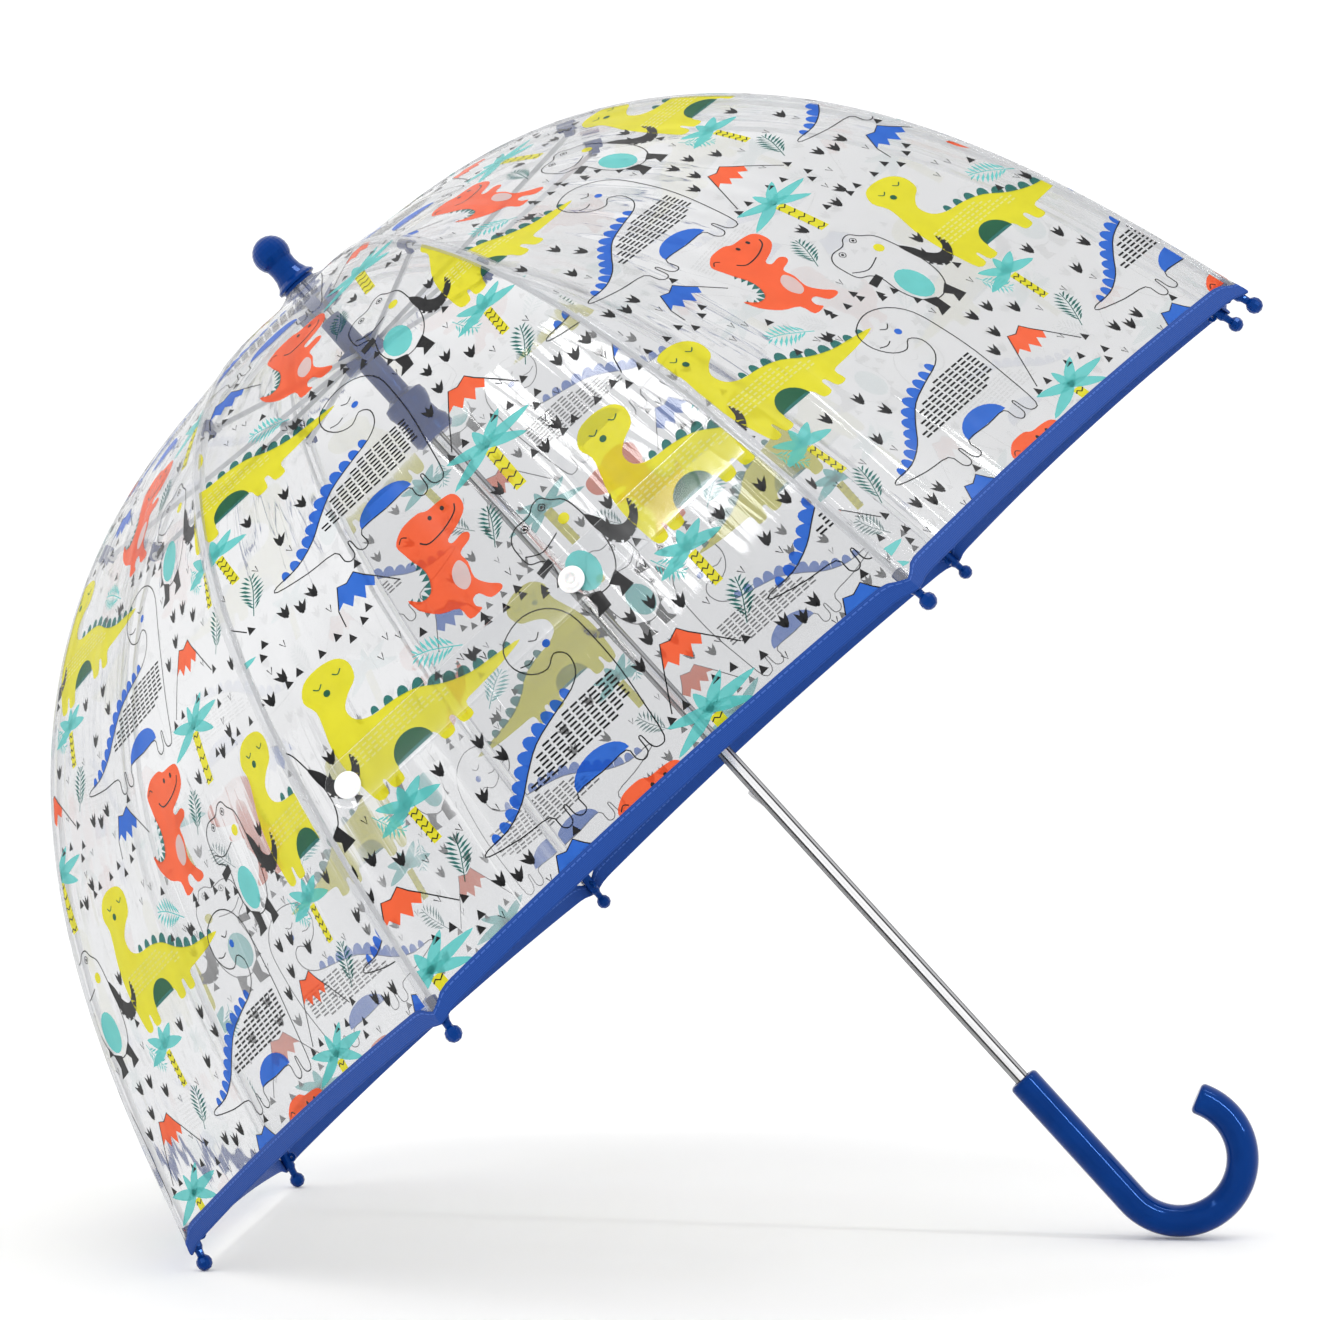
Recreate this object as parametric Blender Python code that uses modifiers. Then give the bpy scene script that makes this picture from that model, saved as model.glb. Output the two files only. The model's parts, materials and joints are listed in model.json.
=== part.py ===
"""Children's dome umbrella: eight curved ribs, a clear canopy of sixteen half panels, a runner with
stretchers, a tube shaft with two spring catches, a crook handle and a closing strap.

The umbrella is modelled upright in its own shaft frame (z along the shaft towards the knob, z = 0 in
the plane of the rib tips, x towards the crook) and is hung from one empty that tilts it onto the
floor, where it lies on two neighbouring tips and the crook. Units are metres.
"""

import math

import bmesh
import bpy
from mathutils import Matrix, Vector

# ---- driving dimensions -------------------------------------------------------------------------
RIB_COUNT = 8
RIM_RADIUS = 0.360          # shaft axis to the centre of a tip's ball, open
PIVOT_RADIUS = 0.009        # ring wire that the ribs and the stretchers turn on
RIB_END_SLOPE = 73.5        # degrees below horizontal at the rim; the ribs leave the crown level
BEND_START = 1.965          # how the slope grows along the rib: slope = end * (1 - (1 - u)^a)^b
BEND_SHOULDER = 1.65
RIB_WIRE = 0.0013           # rib radius
SHAFT_TILT = 42.5           # degrees from upright to the resting position
CLOSED_TIP_RADIUS = 0.014   # shaft axis to the tips when folded
FACE_GAP = 0.0003           # between touching solids

BALL_RADIUS = 0.004         # rib tip
TIP_LENGTH = 0.019          # open end of a tip's sleeve to the centre of its ball
RIB_END = 0.012             # end of the rib's wire to the centre of its tip's ball
CLIP_ARC = 0.160            # along the rib from the crown pivot to the stretcher's clip
CLIP_DROP = 0.003           # stretcher pivot below the rib's centre line
CLIP_LENGTH = 0.009
STRETCHER_OFFSET = 0.0036   # stretchers lie beside the ribs, not under them
STRETCHER_THICK = 0.0018
NOTCH_BELOW_CROWN = 0.0335  # runner's stretcher pivots below the rib pivots, open

FILM_OFFSET = 0.0036        # film's middle outside the rib's centre line
FILM_THICK = 0.0006
FILM_PEAK = 0.009           # how far the film rises towards the knob
FILM_PEAK_FADE = 0.020
FILM_START_ARC = 0.003
HEM_SETBACK = 0.008         # hem to ball centre, along the rib
HEM_SCALLOP = 0.004
FILM_ROWS = 14
FILM_COLUMNS = 2
# A point on the axis that each half panel folds about: x outwards along the rib, y along the rim and
# z up, from the shaft axis at the crown. The axis runs along (-0.8397, -0.4954, 0.2225) there.
PLEAT_POINT = (0.1209, 0.2629, 0.0665)

SHAFT_RADIUS = 0.00375
SHAFT_WALL = 0.0006
SHAFT_IN_KNOB = 0.0095      # above the film's peak
CATCH_PROUD = 0.0013
CATCH_WIDTH = 0.0016
CATCH_LENGTH = 0.0116
KEYWAY_DEPTH = 0.0054       # from the shaft axis
KEYWAY_WIDTH = 0.0024

HANDLE_RADIUS = 0.0079
HANDLE_TOP = -0.2040
GRIP_LENGTH = 0.0805
SHAFT_IN_HANDLE = 0.058
CROOK_RADIUS = 0.031
CROOK_SWEEP = 205.0         # degrees
CROOK_TAIL = 0.004          # straight end after the bend
EDGE_ROUND = 0.0016

KNOB_BALL = 0.0096
KNOB_CENTRE = 0.3475

STRAP_ARC = 0.404           # along the panel from the crown to the strap's middle
STRAP_SWING_GAP = 0.0005    # from the strap's bend to its welded part, clear of the loose part's edge
STRAP_WIDTH = 0.024
STRAP_THICK = 0.0006
STRAP_RIB = 7               # the strap is welded at this rib's seam and lies across the panel
SNAP_RADIUS = 0.0054
SNAP_HEIGHT = 0.0022
RING_SNAP_FROM_FOLD = 0.029
CAP_SNAP_FROM_END = 0.0105

PROFILE_STEPS = 400

HALF_SECTOR = math.pi / RIB_COUNT


# ---- shape of a rib -----------------------------------------------------------------------------
def rib_slope(u):
    """Angle below horizontal at share u of the rib's length, in radians."""
    return math.radians(RIB_END_SLOPE) * (1 - (1 - u) ** BEND_START) ** BEND_SHOULDER


def rib_profile():
    """Length of a rib from its pivot to the ball, and its (radius, drop, slope) at even steps."""
    points = [(0.0, 0.0)]
    for i in range(PROFILE_STEPS):
        slope = rib_slope((i + 0.5) / PROFILE_STEPS)
        r, z = points[-1]
        points.append((r + math.cos(slope), z - math.sin(slope)))
    scale = (RIM_RADIUS - PIVOT_RADIUS) / points[-1][0]
    return scale * PROFILE_STEPS, [(PIVOT_RADIUS + r * scale, z * scale) for r, z in points]


RIB_LENGTH, PROFILE = rib_profile()
CROWN_HEIGHT = -PROFILE[-1][1]


def rib_at(arc, outside=0.0):
    """Point (radius, height from the crown) at an arc length, moved outwards by a distance."""
    place = min(max(arc / RIB_LENGTH, 0.0), 1.0) * PROFILE_STEPS
    i = min(int(place), PROFILE_STEPS - 1)
    part = place - i
    r = PROFILE[i][0] * (1 - part) + PROFILE[i + 1][0] * part
    z = PROFILE[i][1] * (1 - part) + PROFILE[i + 1][1] * part
    slope = rib_slope(place / PROFILE_STEPS)
    return r + outside * math.sin(slope), z + outside * math.cos(slope)


def fold_angle():
    """How far a rib turns from open until its tip is at CLOSED_TIP_RADIUS."""
    reach, depth = RIM_RADIUS - PIVOT_RADIUS, CROWN_HEIGHT
    swing = math.atan2(depth, reach)
    closed = math.acos((CLOSED_TIP_RADIUS - PIVOT_RADIUS) / math.hypot(reach, depth))
    return closed - swing


def clip_pivot():
    """Where the stretcher meets the rib, open: (radius, height from the crown)."""
    return rib_at(CLIP_ARC, -CLIP_DROP)


def stretcher_length():
    r, z = clip_pivot()
    return math.hypot(r - PIVOT_RADIUS, z + NOTCH_BELOW_CROWN)


def folded_clip():
    """The stretcher's rib end when the rib is folded, from its own ring wire outwards and up."""
    turn = fold_angle()
    r, z = clip_pivot()
    out = (r - PIVOT_RADIUS) * math.cos(turn) + z * math.sin(turn)
    return out, z * math.cos(turn) - (r - PIVOT_RADIUS) * math.sin(turn)


def runner_travel():
    """How far the runner slides down the shaft to fold the umbrella."""
    out, height = folded_clip()
    rise = math.sqrt(stretcher_length() ** 2 - out**2)
    return rise - height - NOTCH_BELOW_CROWN


# ---- materials ----------------------------------------------------------------------------------
def material(name, colour, roughness, metallic=0.0, alpha=1.0):
    made = bpy.data.materials.new(name)
    made.use_nodes = True
    shader = made.node_tree.nodes["Principled BSDF"]
    shader.inputs["Base Color"].default_value = (*colour, 1.0)
    shader.inputs["Roughness"].default_value = roughness
    shader.inputs["Metallic"].default_value = metallic
    shader.inputs["Alpha"].default_value = alpha
    return made


# ---- making objects -----------------------------------------------------------------------------
def collection(name):
    made = bpy.data.collections.new(name)
    bpy.context.scene.collection.children.link(made)
    return made


def place(data, name, into, look=None, parent=None, matrix=None):
    """A new object of some data, in a collection, under a parent."""
    made = bpy.data.objects.new(name, data)
    into.objects.link(made)
    if look is not None:
        data.materials.clear()
        data.materials.append(look)
    made.parent = parent
    made.matrix_basis = matrix or Matrix.Identity(4)
    return made


def empty(name, into, parent=None, matrix=None):
    made = place(None, name, into, None, parent, matrix)
    made.empty_display_size = 0.01
    return made


def turned_mesh(name, outline, segments):
    """Mesh of an outline of (radius, height) points, down the outer side, turned about z."""
    profile = bpy.data.meshes.new(name)
    edges = [(i, (i + 1) % len(outline)) for i in range(len(outline))]
    on_axis = outline[0][0] == 0 and outline[-1][0] == 0
    profile.from_pydata([(r, 0.0, z) for r, z in outline], edges[:-1] if on_axis else edges, [])
    carrier = bpy.data.objects.new(name, profile)
    bpy.context.scene.collection.objects.link(carrier)
    screw = carrier.modifiers.new("turn", "SCREW")
    screw.steps = segments
    screw.render_steps = segments
    screw.use_merge_vertices = True
    screw.merge_threshold = 0.00001
    return bake(carrier)


def bake(carrier):
    """The mesh of an object with its modifiers applied; the object goes."""
    bpy.context.view_layer.update()
    view = bpy.context.evaluated_depsgraph_get()
    made = bpy.data.meshes.new_from_object(carrier.evaluated_get(view))
    made.transform(carrier.matrix_world)
    bpy.data.objects.remove(carrier)
    work = bmesh.new()
    work.from_mesh(made)
    bmesh.ops.remove_doubles(work, verts=work.verts, dist=0.00001)
    work.to_mesh(made)
    work.free()
    smooth(made)
    return made


def smooth(mesh):
    mesh.shade_smooth()
    mesh.set_sharp_from_angle(angle=math.radians(35))


def drum_mesh(name, radius, length, segments=12):
    """A cylinder about the y axis."""
    work = bmesh.new()
    turn = Matrix.Rotation(math.pi / 2, 4, "X")
    bmesh.ops.create_cone(work, cap_ends=True, segments=segments, radius1=radius, radius2=radius,
                          depth=length, matrix=turn)
    made = bpy.data.meshes.new(name)
    work.to_mesh(made)
    work.free()
    return made


def box_mesh(name, low, high):
    work = bmesh.new()
    bmesh.ops.create_cube(work, size=1.0)
    size = Vector(high) - Vector(low)
    middle = (Vector(high) + Vector(low)) / 2
    bmesh.ops.transform(work, matrix=Matrix.Translation(middle) @ Matrix.Diagonal(size.to_4d()),
                        verts=work.verts)
    made = bpy.data.meshes.new(name)
    work.to_mesh(made)
    work.free()
    return made


def tube_mesh(name, points, radius, resolution=2):
    """A round wire through points, with filled caps."""
    curve = bpy.data.curves.new(name, "CURVE")
    curve.dimensions = "3D"
    curve.bevel_depth = radius
    curve.bevel_resolution = resolution
    curve.use_fill_caps = True
    spline = curve.splines.new("POLY")
    spline.points.add(len(points) - 1)
    for spot, point in zip(spline.points, points):
        spot.co = (*point, 1.0)
    carrier = bpy.data.objects.new(name, curve)
    bpy.context.scene.collection.objects.link(carrier)
    return bake(carrier)


def combined(name, base, steps):
    """base mesh with each (operation, mesh, matrix) step applied as a Boolean."""
    carrier = bpy.data.objects.new(name, base)
    bpy.context.scene.collection.objects.link(carrier)
    others = []
    for operation, mesh, matrix in steps:
        other = bpy.data.objects.new(name + "_tool", mesh)
        other.matrix_world = matrix
        bpy.context.scene.collection.objects.link(other)
        others.append(other)
        cut = carrier.modifiers.new(operation.lower(), "BOOLEAN")
        cut.operation = operation
        cut.solver = "EXACT"
        cut.object = other
    made = bake(carrier)
    for other in others:
        bpy.data.objects.remove(other)
    return made


def cut_with(target, cutters, mesh, name, parent, matrix):
    """A live Boolean cut of target by a hidden cutter."""
    cutter = place(mesh, name, cutters, None, parent, matrix)
    cutter.hide_render = True
    cutter.display_type = "WIRE"
    cut = target.modifiers.new("cut_" + name, "BOOLEAN")
    cut.operation = "DIFFERENCE"
    cut.solver = "EXACT"
    cut.object = cutter


def about_z(angle):
    return Matrix.Rotation(angle, 4, "Z")


def at(x, y, z):
    return Matrix.Translation((x, y, z))


def rib_azimuth(number):
    """Direction of a rib about the shaft, numbered from 1; ribs straddle the crook's plane."""
    return (2 * number - 1) * HALF_SECTOR


# ---- the fixed stick ----------------------------------------------------------------------------
def handle_path():
    """Centre line of the grip and the crook, in the plane y = 0."""
    bend = HANDLE_TOP - GRIP_LENGTH
    points = [(0.0, 0.0, HANDLE_TOP), (0.0, 0.0, HANDLE_TOP - EDGE_ROUND), (0.0, 0.0, bend + 0.02)]
    turns = 22
    for i in range(turns + 1):
        angle = math.pi + math.radians(CROOK_SWEEP) * i / turns
        points.append((CROOK_RADIUS * (1 + math.cos(angle)), 0.0,
                       bend + CROOK_RADIUS * math.sin(angle)))
    last = Vector(points[-1])
    heading = Vector((-math.sin(angle), 0.0, math.cos(angle)))
    points.append(tuple(last + heading * (CROOK_TAIL - EDGE_ROUND)))
    points.append(tuple(last + heading * CROOK_TAIL))
    return points


def make_handle(parts, look, parent):
    curve = bpy.data.curves.new("handle", "CURVE")
    curve.dimensions = "3D"
    curve.bevel_depth = HANDLE_RADIUS
    curve.bevel_resolution = 6
    curve.use_fill_caps = True
    spline = curve.splines.new("POLY")
    path = handle_path()
    spline.points.add(len(path) - 1)
    for spot, point in zip(spline.points, path):
        spot.co = (*point, 1.0)
    end_size = 1 - EDGE_ROUND / HANDLE_RADIUS
    spline.points[0].radius = end_size
    spline.points[-1].radius = end_size
    carrier = bpy.data.objects.new("handle_curve", curve)
    bpy.context.scene.collection.objects.link(carrier)
    solid = bake(carrier)
    depth = SHAFT_IN_HANDLE + FACE_GAP
    bore = drum_mesh("handle_bore", SHAFT_RADIUS + FACE_GAP, 2 * depth, 24)
    stand = at(0, 0, HANDLE_TOP) @ Matrix.Rotation(math.pi / 2, 4, "X")
    return place(combined("handle", solid, [("DIFFERENCE", bore, stand)]), "handle", parts, look,
                 parent)


def make_shaft(parts, cutters, look, parent, catches):
    outer, inner = SHAFT_RADIUS, SHAFT_RADIUS - SHAFT_WALL
    top = CROWN_HEIGHT + FILM_PEAK + FILM_OFFSET + SHAFT_IN_KNOB
    bottom = HANDLE_TOP - SHAFT_IN_HANDLE
    outline = [(inner, top), (outer, top), (outer, bottom), (inner, bottom)]
    shaft = place(turned_mesh("shaft", outline, 24), "shaft", parts, look, parent)
    half = CATCH_WIDTH / 2 + FACE_GAP
    reach = CATCH_LENGTH / 2 + FACE_GAP
    for name, height in catches.items():
        slot = box_mesh(name + "_slot", (-2 * SHAFT_RADIUS, -half, -reach), (0.0, half, reach))
        cut_with(shaft, cutters, slot, name + "_slot", parent, at(0, 0, height))
    return shaft


def make_catch(name, height, parts, look, parent):
    """A flat spring's hump: steep where it holds the runner, sloping where the runner rides up."""
    half = CATCH_LENGTH / 2
    root = -SHAFT_RADIUS + 0.0024
    crest = -SHAFT_RADIUS - CATCH_PROUD
    flush = -SHAFT_RADIUS + 0.0002
    outline = [(root, -half), (root, half), (flush, half), (crest, half - 0.0008),
               (crest, half - 0.0032), (flush, -half)]
    curve = bpy.data.curves.new(name, "CURVE")
    curve.dimensions = "2D"
    curve.fill_mode = "BOTH"
    curve.extrude = CATCH_WIDTH / 2
    spline = curve.splines.new("POLY")
    spline.points.add(len(outline) - 1)
    spline.use_cyclic_u = True
    for spot, (x, z) in zip(spline.points, outline):
        spot.co = (x, z, 0.0, 1.0)
    carrier = bpy.data.objects.new(name, curve)
    carrier.matrix_world = Matrix.Rotation(math.pi / 2, 4, "X")
    bpy.context.scene.collection.objects.link(carrier)
    return place(bake(carrier), name, parts, look, parent, at(0, 0, height))


def arc_points(centre, radius, start, end, steps):
    """Points on a circle in the turning plane, angles in degrees from the +r direction."""
    angles = [math.radians(start + (end - start) * i / steps) for i in range(steps + 1)]
    return [(centre[0] + radius * math.cos(a), centre[1] + radius * math.sin(a)) for a in angles]


def make_knob(parts, look, parent):
    base = CROWN_HEIGHT + FILM_OFFSET + FILM_PEAK
    bore = SHAFT_RADIUS + FACE_GAP
    roof = base + SHAFT_IN_KNOB + FACE_GAP
    ball = arc_points((0.0, KNOB_CENTRE), KNOB_BALL, 90, -38, 9)
    ball[0] = (0.0, ball[0][1])
    skirt = [(0.0073, KNOB_CENTRE - 0.0090), (0.0077, KNOB_CENTRE - 0.0125),
             (0.0090, KNOB_CENTRE - 0.0160), (0.0109, KNOB_CENTRE - 0.0180),
             (0.0109, KNOB_CENTRE - 0.0192), (0.0090, KNOB_CENTRE - 0.0198), (0.0090, base)]
    outline = ball + skirt + [(bore, base), (bore, roof), (0.0, roof)]
    return place(turned_mesh("top_knob", outline, 24), "top_knob", parts, look, parent)


def make_crown(parts, cutters, look, wire_look, parent):
    """The notched disc that the ribs hang in, on a ring wire in a channel from below."""
    hub, rim, half = SHAFT_RADIUS + FACE_GAP, 0.0128, 0.0050
    outline = [(hub, half), (rim - 0.0008, half), (rim, half - 0.0008), (rim, -half + 0.0008),
               (rim - 0.0008, -half), (PIVOT_RADIUS + 0.0011, -half), (PIVOT_RADIUS + 0.0011, 0.0011),
               (PIVOT_RADIUS - 0.0011, 0.0011), (PIVOT_RADIUS - 0.0011, -half), (hub, -half)]
    pivots = at(0, 0, CROWN_HEIGHT)
    crown = place(turned_mesh("crown", outline, 32), "crown", parts, look, parent, pivots)
    slot = box_mesh("crown_slot", (0.0065, -0.0015, -0.0065), (0.0150, 0.0015, 0.0027))
    for number in range(1, RIB_COUNT + 1):
        cut_with(crown, cutters, slot, f"crown_slot_{number}", parent,
                 pivots @ about_z(rib_azimuth(number)))
    outline = arc_points((PIVOT_RADIUS, 0.0), 0.0006, 90, -210, 5)
    ring = turned_mesh("crown_wire", outline, 32)
    place(ring, "crown_wire", parts, wire_look, parent, pivots)


# ---- the runner ---------------------------------------------------------------------------------
def make_runner(parts, cutters, look, parent):
    """Sleeve with the stretcher notches in its upper part and a finger flange at its foot."""
    bore, sleeve, neck = SHAFT_RADIUS + FACE_GAP, 0.0064, 0.0058
    outline = [(bore, 0.0240), (neck, 0.0240), (neck + 0.0004, 0.0060), (0.0118, 0.0052),
               (0.0126, 0.0044), (0.0126, -0.0044), (0.0118, -0.0052), (sleeve, -0.0062),
               (sleeve, -0.0270), (0.0080, -0.0285), (0.0112, -0.0300), (0.0118, -0.0335),
               (0.0108, -0.0375), (0.0093, -0.0405), (0.0098, -0.0455), (0.0116, -0.0490),
               (0.0116, -0.0535), (0.0096, -0.0555), (bore, -0.0555)]
    runner = place(turned_mesh("runner", outline, 32), "runner", parts, look, parent)
    half = STRETCHER_THICK / 2 + FACE_GAP
    slot = box_mesh("runner_slot", (0.0064, STRETCHER_OFFSET - half, -0.0025),
                    (0.0150, STRETCHER_OFFSET + half, 0.0070))
    for number in range(1, RIB_COUNT + 1):
        cut_with(runner, cutters, slot, f"runner_slot_{number}", parent,
                 about_z(rib_azimuth(number)))
    keyway = box_mesh("runner_keyway", (-KEYWAY_DEPTH, -KEYWAY_WIDTH / 2, -0.0600),
                      (0.0, KEYWAY_WIDTH / 2, 0.0300))
    cut_with(runner, cutters, keyway, "runner_keyway", parent, Matrix.Identity(4))
    return runner


def stretcher_mesh():
    """A flat-ended bar from the runner's ring to the rib's clip, level in its own frame."""
    length = stretcher_length()
    bar = box_mesh("stretcher_bar", (0.0012, -STRETCHER_THICK / 2, -0.0011),
                   (length - 0.0012, STRETCHER_THICK / 2, 0.0011))
    inner = drum_mesh("stretcher_inner", 0.0020, STRETCHER_THICK)
    outer = drum_mesh("stretcher_outer", 0.0024, STRETCHER_THICK)
    hole = drum_mesh("stretcher_hole", 0.0008, 0.0060, 8)
    return combined("stretcher", bar, [("UNION", inner, at(0, 0, 0)),
                                       ("UNION", outer, at(length, 0, 0)),
                                       ("DIFFERENCE", hole, at(0, 0, 0)),
                                       ("DIFFERENCE", hole, at(length, 0, 0))])


# ---- ribs, clips and tips, each in the frame of its rib's pivot ---------------------------------
def rib_points(start, end, count):
    places = [rib_at(start + (end - start) * i / (count - 1)) for i in range(count)]
    return [(r - PIVOT_RADIUS, 0.0, z) for r, z in places]


def rib_mesh():
    wire = tube_mesh("rib_wire", rib_points(0.0014, RIB_LENGTH - RIB_END, 17), RIB_WIRE)
    outline = [(0.00095, 0.0014), (0.0020, 0.0014), (0.0020, -0.0014), (0.00095, -0.0014)]
    eye = turned_mesh("rib_eye", outline, 12)
    return combined("rib", wire, [("UNION", eye, Matrix.Rotation(math.pi / 2, 4, "X"))])


def along_rib(arc, outside=0.0):
    """Frame on a rib: x outwards from the dome, z along the rib towards the tip."""
    r, z = rib_at(arc, outside)
    slope = rib_slope(arc / RIB_LENGTH)
    heading = Vector((math.cos(slope), 0.0, -math.sin(slope)))
    away = Vector((math.sin(slope), 0.0, math.cos(slope)))
    side = heading.cross(away)
    turn = Matrix((away, side, heading)).transposed().to_4x4()
    return Matrix.Translation((r - PIVOT_RADIUS, 0.0, z)) @ turn


def clip_mesh():
    """Sleeve round the rib with an ear that reaches the stretcher's pivot."""
    inner, outer, half = RIB_WIRE + FACE_GAP, 0.0024, CLIP_LENGTH / 2
    outline = [(inner, half), (outer, half), (outer, -half), (inner, -half)]
    sleeve = turned_mesh("clip_sleeve", outline, 12)
    ear = box_mesh("clip_ear", (-CLIP_DROP - 0.0018, -0.0010, -0.0022),
                   (-inner - 0.0003, 0.0010, 0.0022))
    made = combined("rib_clip", sleeve, [("UNION", ear, at(0, 0, 0))])
    made.transform(along_rib(CLIP_ARC))
    return made


def tip_mesh():
    """Ball, neck and bored sleeve, with a lug that the canopy's corner is tied to."""
    bore, wall = RIB_WIRE + FACE_GAP, 0.0028
    ball = arc_points((0.0, 0.0), BALL_RADIUS, 90, -62, 5)
    ball[0] = (0.0, BALL_RADIUS)
    depth = -RIB_END + FACE_GAP
    sleeve = [(0.0019, -0.0050), (0.0020, -0.0062), (wall, -0.0078), (wall, -TIP_LENGTH),
              (bore, -TIP_LENGTH), (bore, depth), (0.0, depth)]
    body = turned_mesh("tip_body", ball + sleeve, 12)
    eye = [(0.0008, 0.0008), (0.0024, 0.0008), (0.0024, -0.0008), (0.0008, -0.0008)]
    lug = turned_mesh("tip_lug", eye, 10)
    spot = at(-wall - 0.0014, 0, -0.0125) @ Matrix.Rotation(math.pi / 2, 4, "X")
    made = combined("rib_tip", body, [("UNION", lug, spot)])
    made.transform(along_rib(RIB_LENGTH))
    return made


# ---- canopy -------------------------------------------------------------------------------------
def film_offset(arc):
    """Film's distance outside the rib's centre line; it rises to a peak under the knob."""
    return FILM_OFFSET + FILM_PEAK * math.exp(-arc / FILM_PEAK_FADE)


def film_point(arc, share, side, lift=0.0):
    """Point of a half panel in its rib's frame, origin on the shaft axis at the crown.

    share runs from 0 at the rib to 1 at the panel's middle; side is +1 or -1 along y. Between
    neighbouring ribs the film is straight, and its hem curves in by HEM_SCALLOP.
    """
    r, z = rib_at(arc, film_offset(arc) + lift)
    scallop = HEM_SCALLOP * (arc / RIB_LENGTH) ** 8 * (1 - (1 - share) ** 2)
    middle = r * math.cos(HALF_SECTOR)
    across = Vector((middle * math.cos(HALF_SECTOR), side * middle * math.sin(HALF_SECTOR), z))
    return Vector((r, 0.0, z)).lerp(across, share) + Vector((0.0, 0.0, scallop))


def panel_mesh(name, side):
    """Open surface of one half panel, kept half a face gap from the rib and middle planes."""
    work = bmesh.new()
    from_middle = Vector((-math.sin(HALF_SECTOR), side * math.cos(HALF_SECTOR), 0.0))
    grid = []
    for i in range(FILM_ROWS + 1):
        arc = FILM_START_ARC + (RIB_LENGTH - HEM_SETBACK - FILM_START_ARC) * i / FILM_ROWS
        row = []
        for j in range(FILM_COLUMNS + 1):
            share = j / FILM_COLUMNS
            spot = film_point(arc, share, side)
            if j == 0:
                spot.y += side * FACE_GAP / 2
            if j == FILM_COLUMNS:
                spot -= from_middle * FACE_GAP / 2
            row.append(work.verts.new(spot))
        grid.append(row)
    for i in range(FILM_ROWS):
        for j in range(FILM_COLUMNS):
            corners = [grid[i][j], grid[i + 1][j], grid[i + 1][j + 1], grid[i][j + 1]]
            work.faces.new(corners if side > 0 else corners[::-1])
    made = bpy.data.meshes.new(name)
    work.to_mesh(made)
    work.free()
    return made


def make_panels(parts, look, frames):
    for side, letter in ((-1, "a"), (1, "b")):
        mesh = panel_mesh("canopy_panel_" + letter, side)
        origin = Vector((PLEAT_POINT[0], side * PLEAT_POINT[1], PLEAT_POINT[2]))
        mesh.transform(Matrix.Translation(-origin))
        for number, frame in frames.items():
            panel = place(mesh, f"canopy_panel_{number}{letter}", parts, look, frame,
                          Matrix.Translation(origin - Vector((PIVOT_RADIUS, 0.0, 0.0))))
            shell = panel.modifiers.new("film", "SOLIDIFY")
            shell.thickness = FILM_THICK
            shell.offset = 0.0


# ---- closing strap ------------------------------------------------------------------------------
def strap_frame():
    """Frame on the strap panel's fold line, in the strap rib's frame.

    x runs along the strap towards its free end, y along the fold line towards the hem, z outwards.
    """
    side = -1
    here = film_point(STRAP_ARC, 1.0, side)
    along = (film_point(STRAP_ARC + 0.002, 1.0, side) - here).normalized()
    to_free = Vector((-math.sin(HALF_SECTOR), side * math.cos(HALF_SECTOR), 0.0))
    away = to_free.cross(along).normalized()
    turn = Matrix((to_free, along, away)).transposed().to_4x4()
    here.x -= PIVOT_RADIUS
    return Matrix.Translation(here) @ turn


def strap_reach():
    """Half the panel's width at the strap: fold line to rib."""
    r, _ = rib_at(STRAP_ARC, film_offset(STRAP_ARC))
    return r * math.sin(HALF_SECTOR)


def strap_mesh(name, start, end, round_end):
    """A flat strip along x between start and end, with a half-round free end if asked."""
    half = STRAP_WIDTH / 2
    outline = [(start, -half), (end, -half), (end, half), (start, half)]
    if round_end:
        arc = [math.radians(-90 + 180 * i / 10) for i in range(11)]
        outline = [(start, -half)]
        outline += [(end - half + half * math.cos(a), half * math.sin(a)) for a in arc]
        outline += [(start, half)]
    curve = bpy.data.curves.new(name, "CURVE")
    curve.dimensions = "2D"
    curve.fill_mode = "BOTH"
    curve.extrude = STRAP_THICK / 2
    spline = curve.splines.new("POLY")
    spline.points.add(len(outline) - 1)
    spline.use_cyclic_u = True
    for spot, (x, y) in zip(spline.points, outline):
        spot.co = (x, y, 0.0, 1.0)
    carrier = bpy.data.objects.new(name, curve)
    bpy.context.scene.collection.objects.link(carrier)
    return bake(carrier)


def make_strap(parts, film_look, snap_look, frame):
    base = strap_frame()
    lie = 0.0012
    reach = strap_reach()
    free_length = 0.913 * reach
    place(strap_mesh("strap_base", -reach + 0.0035, -STRAP_SWING_GAP, False), "strap_base", parts,
          film_look, frame, base @ at(0, 0, lie))
    place(strap_mesh("closure_strap", FACE_GAP, free_length, True), "closure_strap", parts,
          film_look, frame, base @ at(0, 0, lie))
    on_strap = lie + STRAP_THICK / 2 + FACE_GAP
    cap = [(0.0, SNAP_HEIGHT), (0.0034, SNAP_HEIGHT - 0.0002), (SNAP_RADIUS, SNAP_HEIGHT * 0.5),
           (SNAP_RADIUS, 0.0), (0.0, 0.0)]
    ring = [(0.0, 0.0009), (0.0016, 0.0009), (0.0019, 0.0018), (0.0034, SNAP_HEIGHT),
            (0.0042, 0.0012), (SNAP_RADIUS - 0.0004, 0.0010), (SNAP_RADIUS - 0.0004, 0.0), (0.0, 0.0)]
    place(turned_mesh("strap_snap", cap, 20), "strap_snap", parts, snap_look, frame,
          base @ at(free_length - CAP_SNAP_FROM_END, 0, on_strap))
    place(turned_mesh("canopy_snap", ring, 20), "canopy_snap", parts, snap_look, frame,
          base @ at(-RING_SNAP_FROM_FOLD, 0, on_strap))


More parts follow.
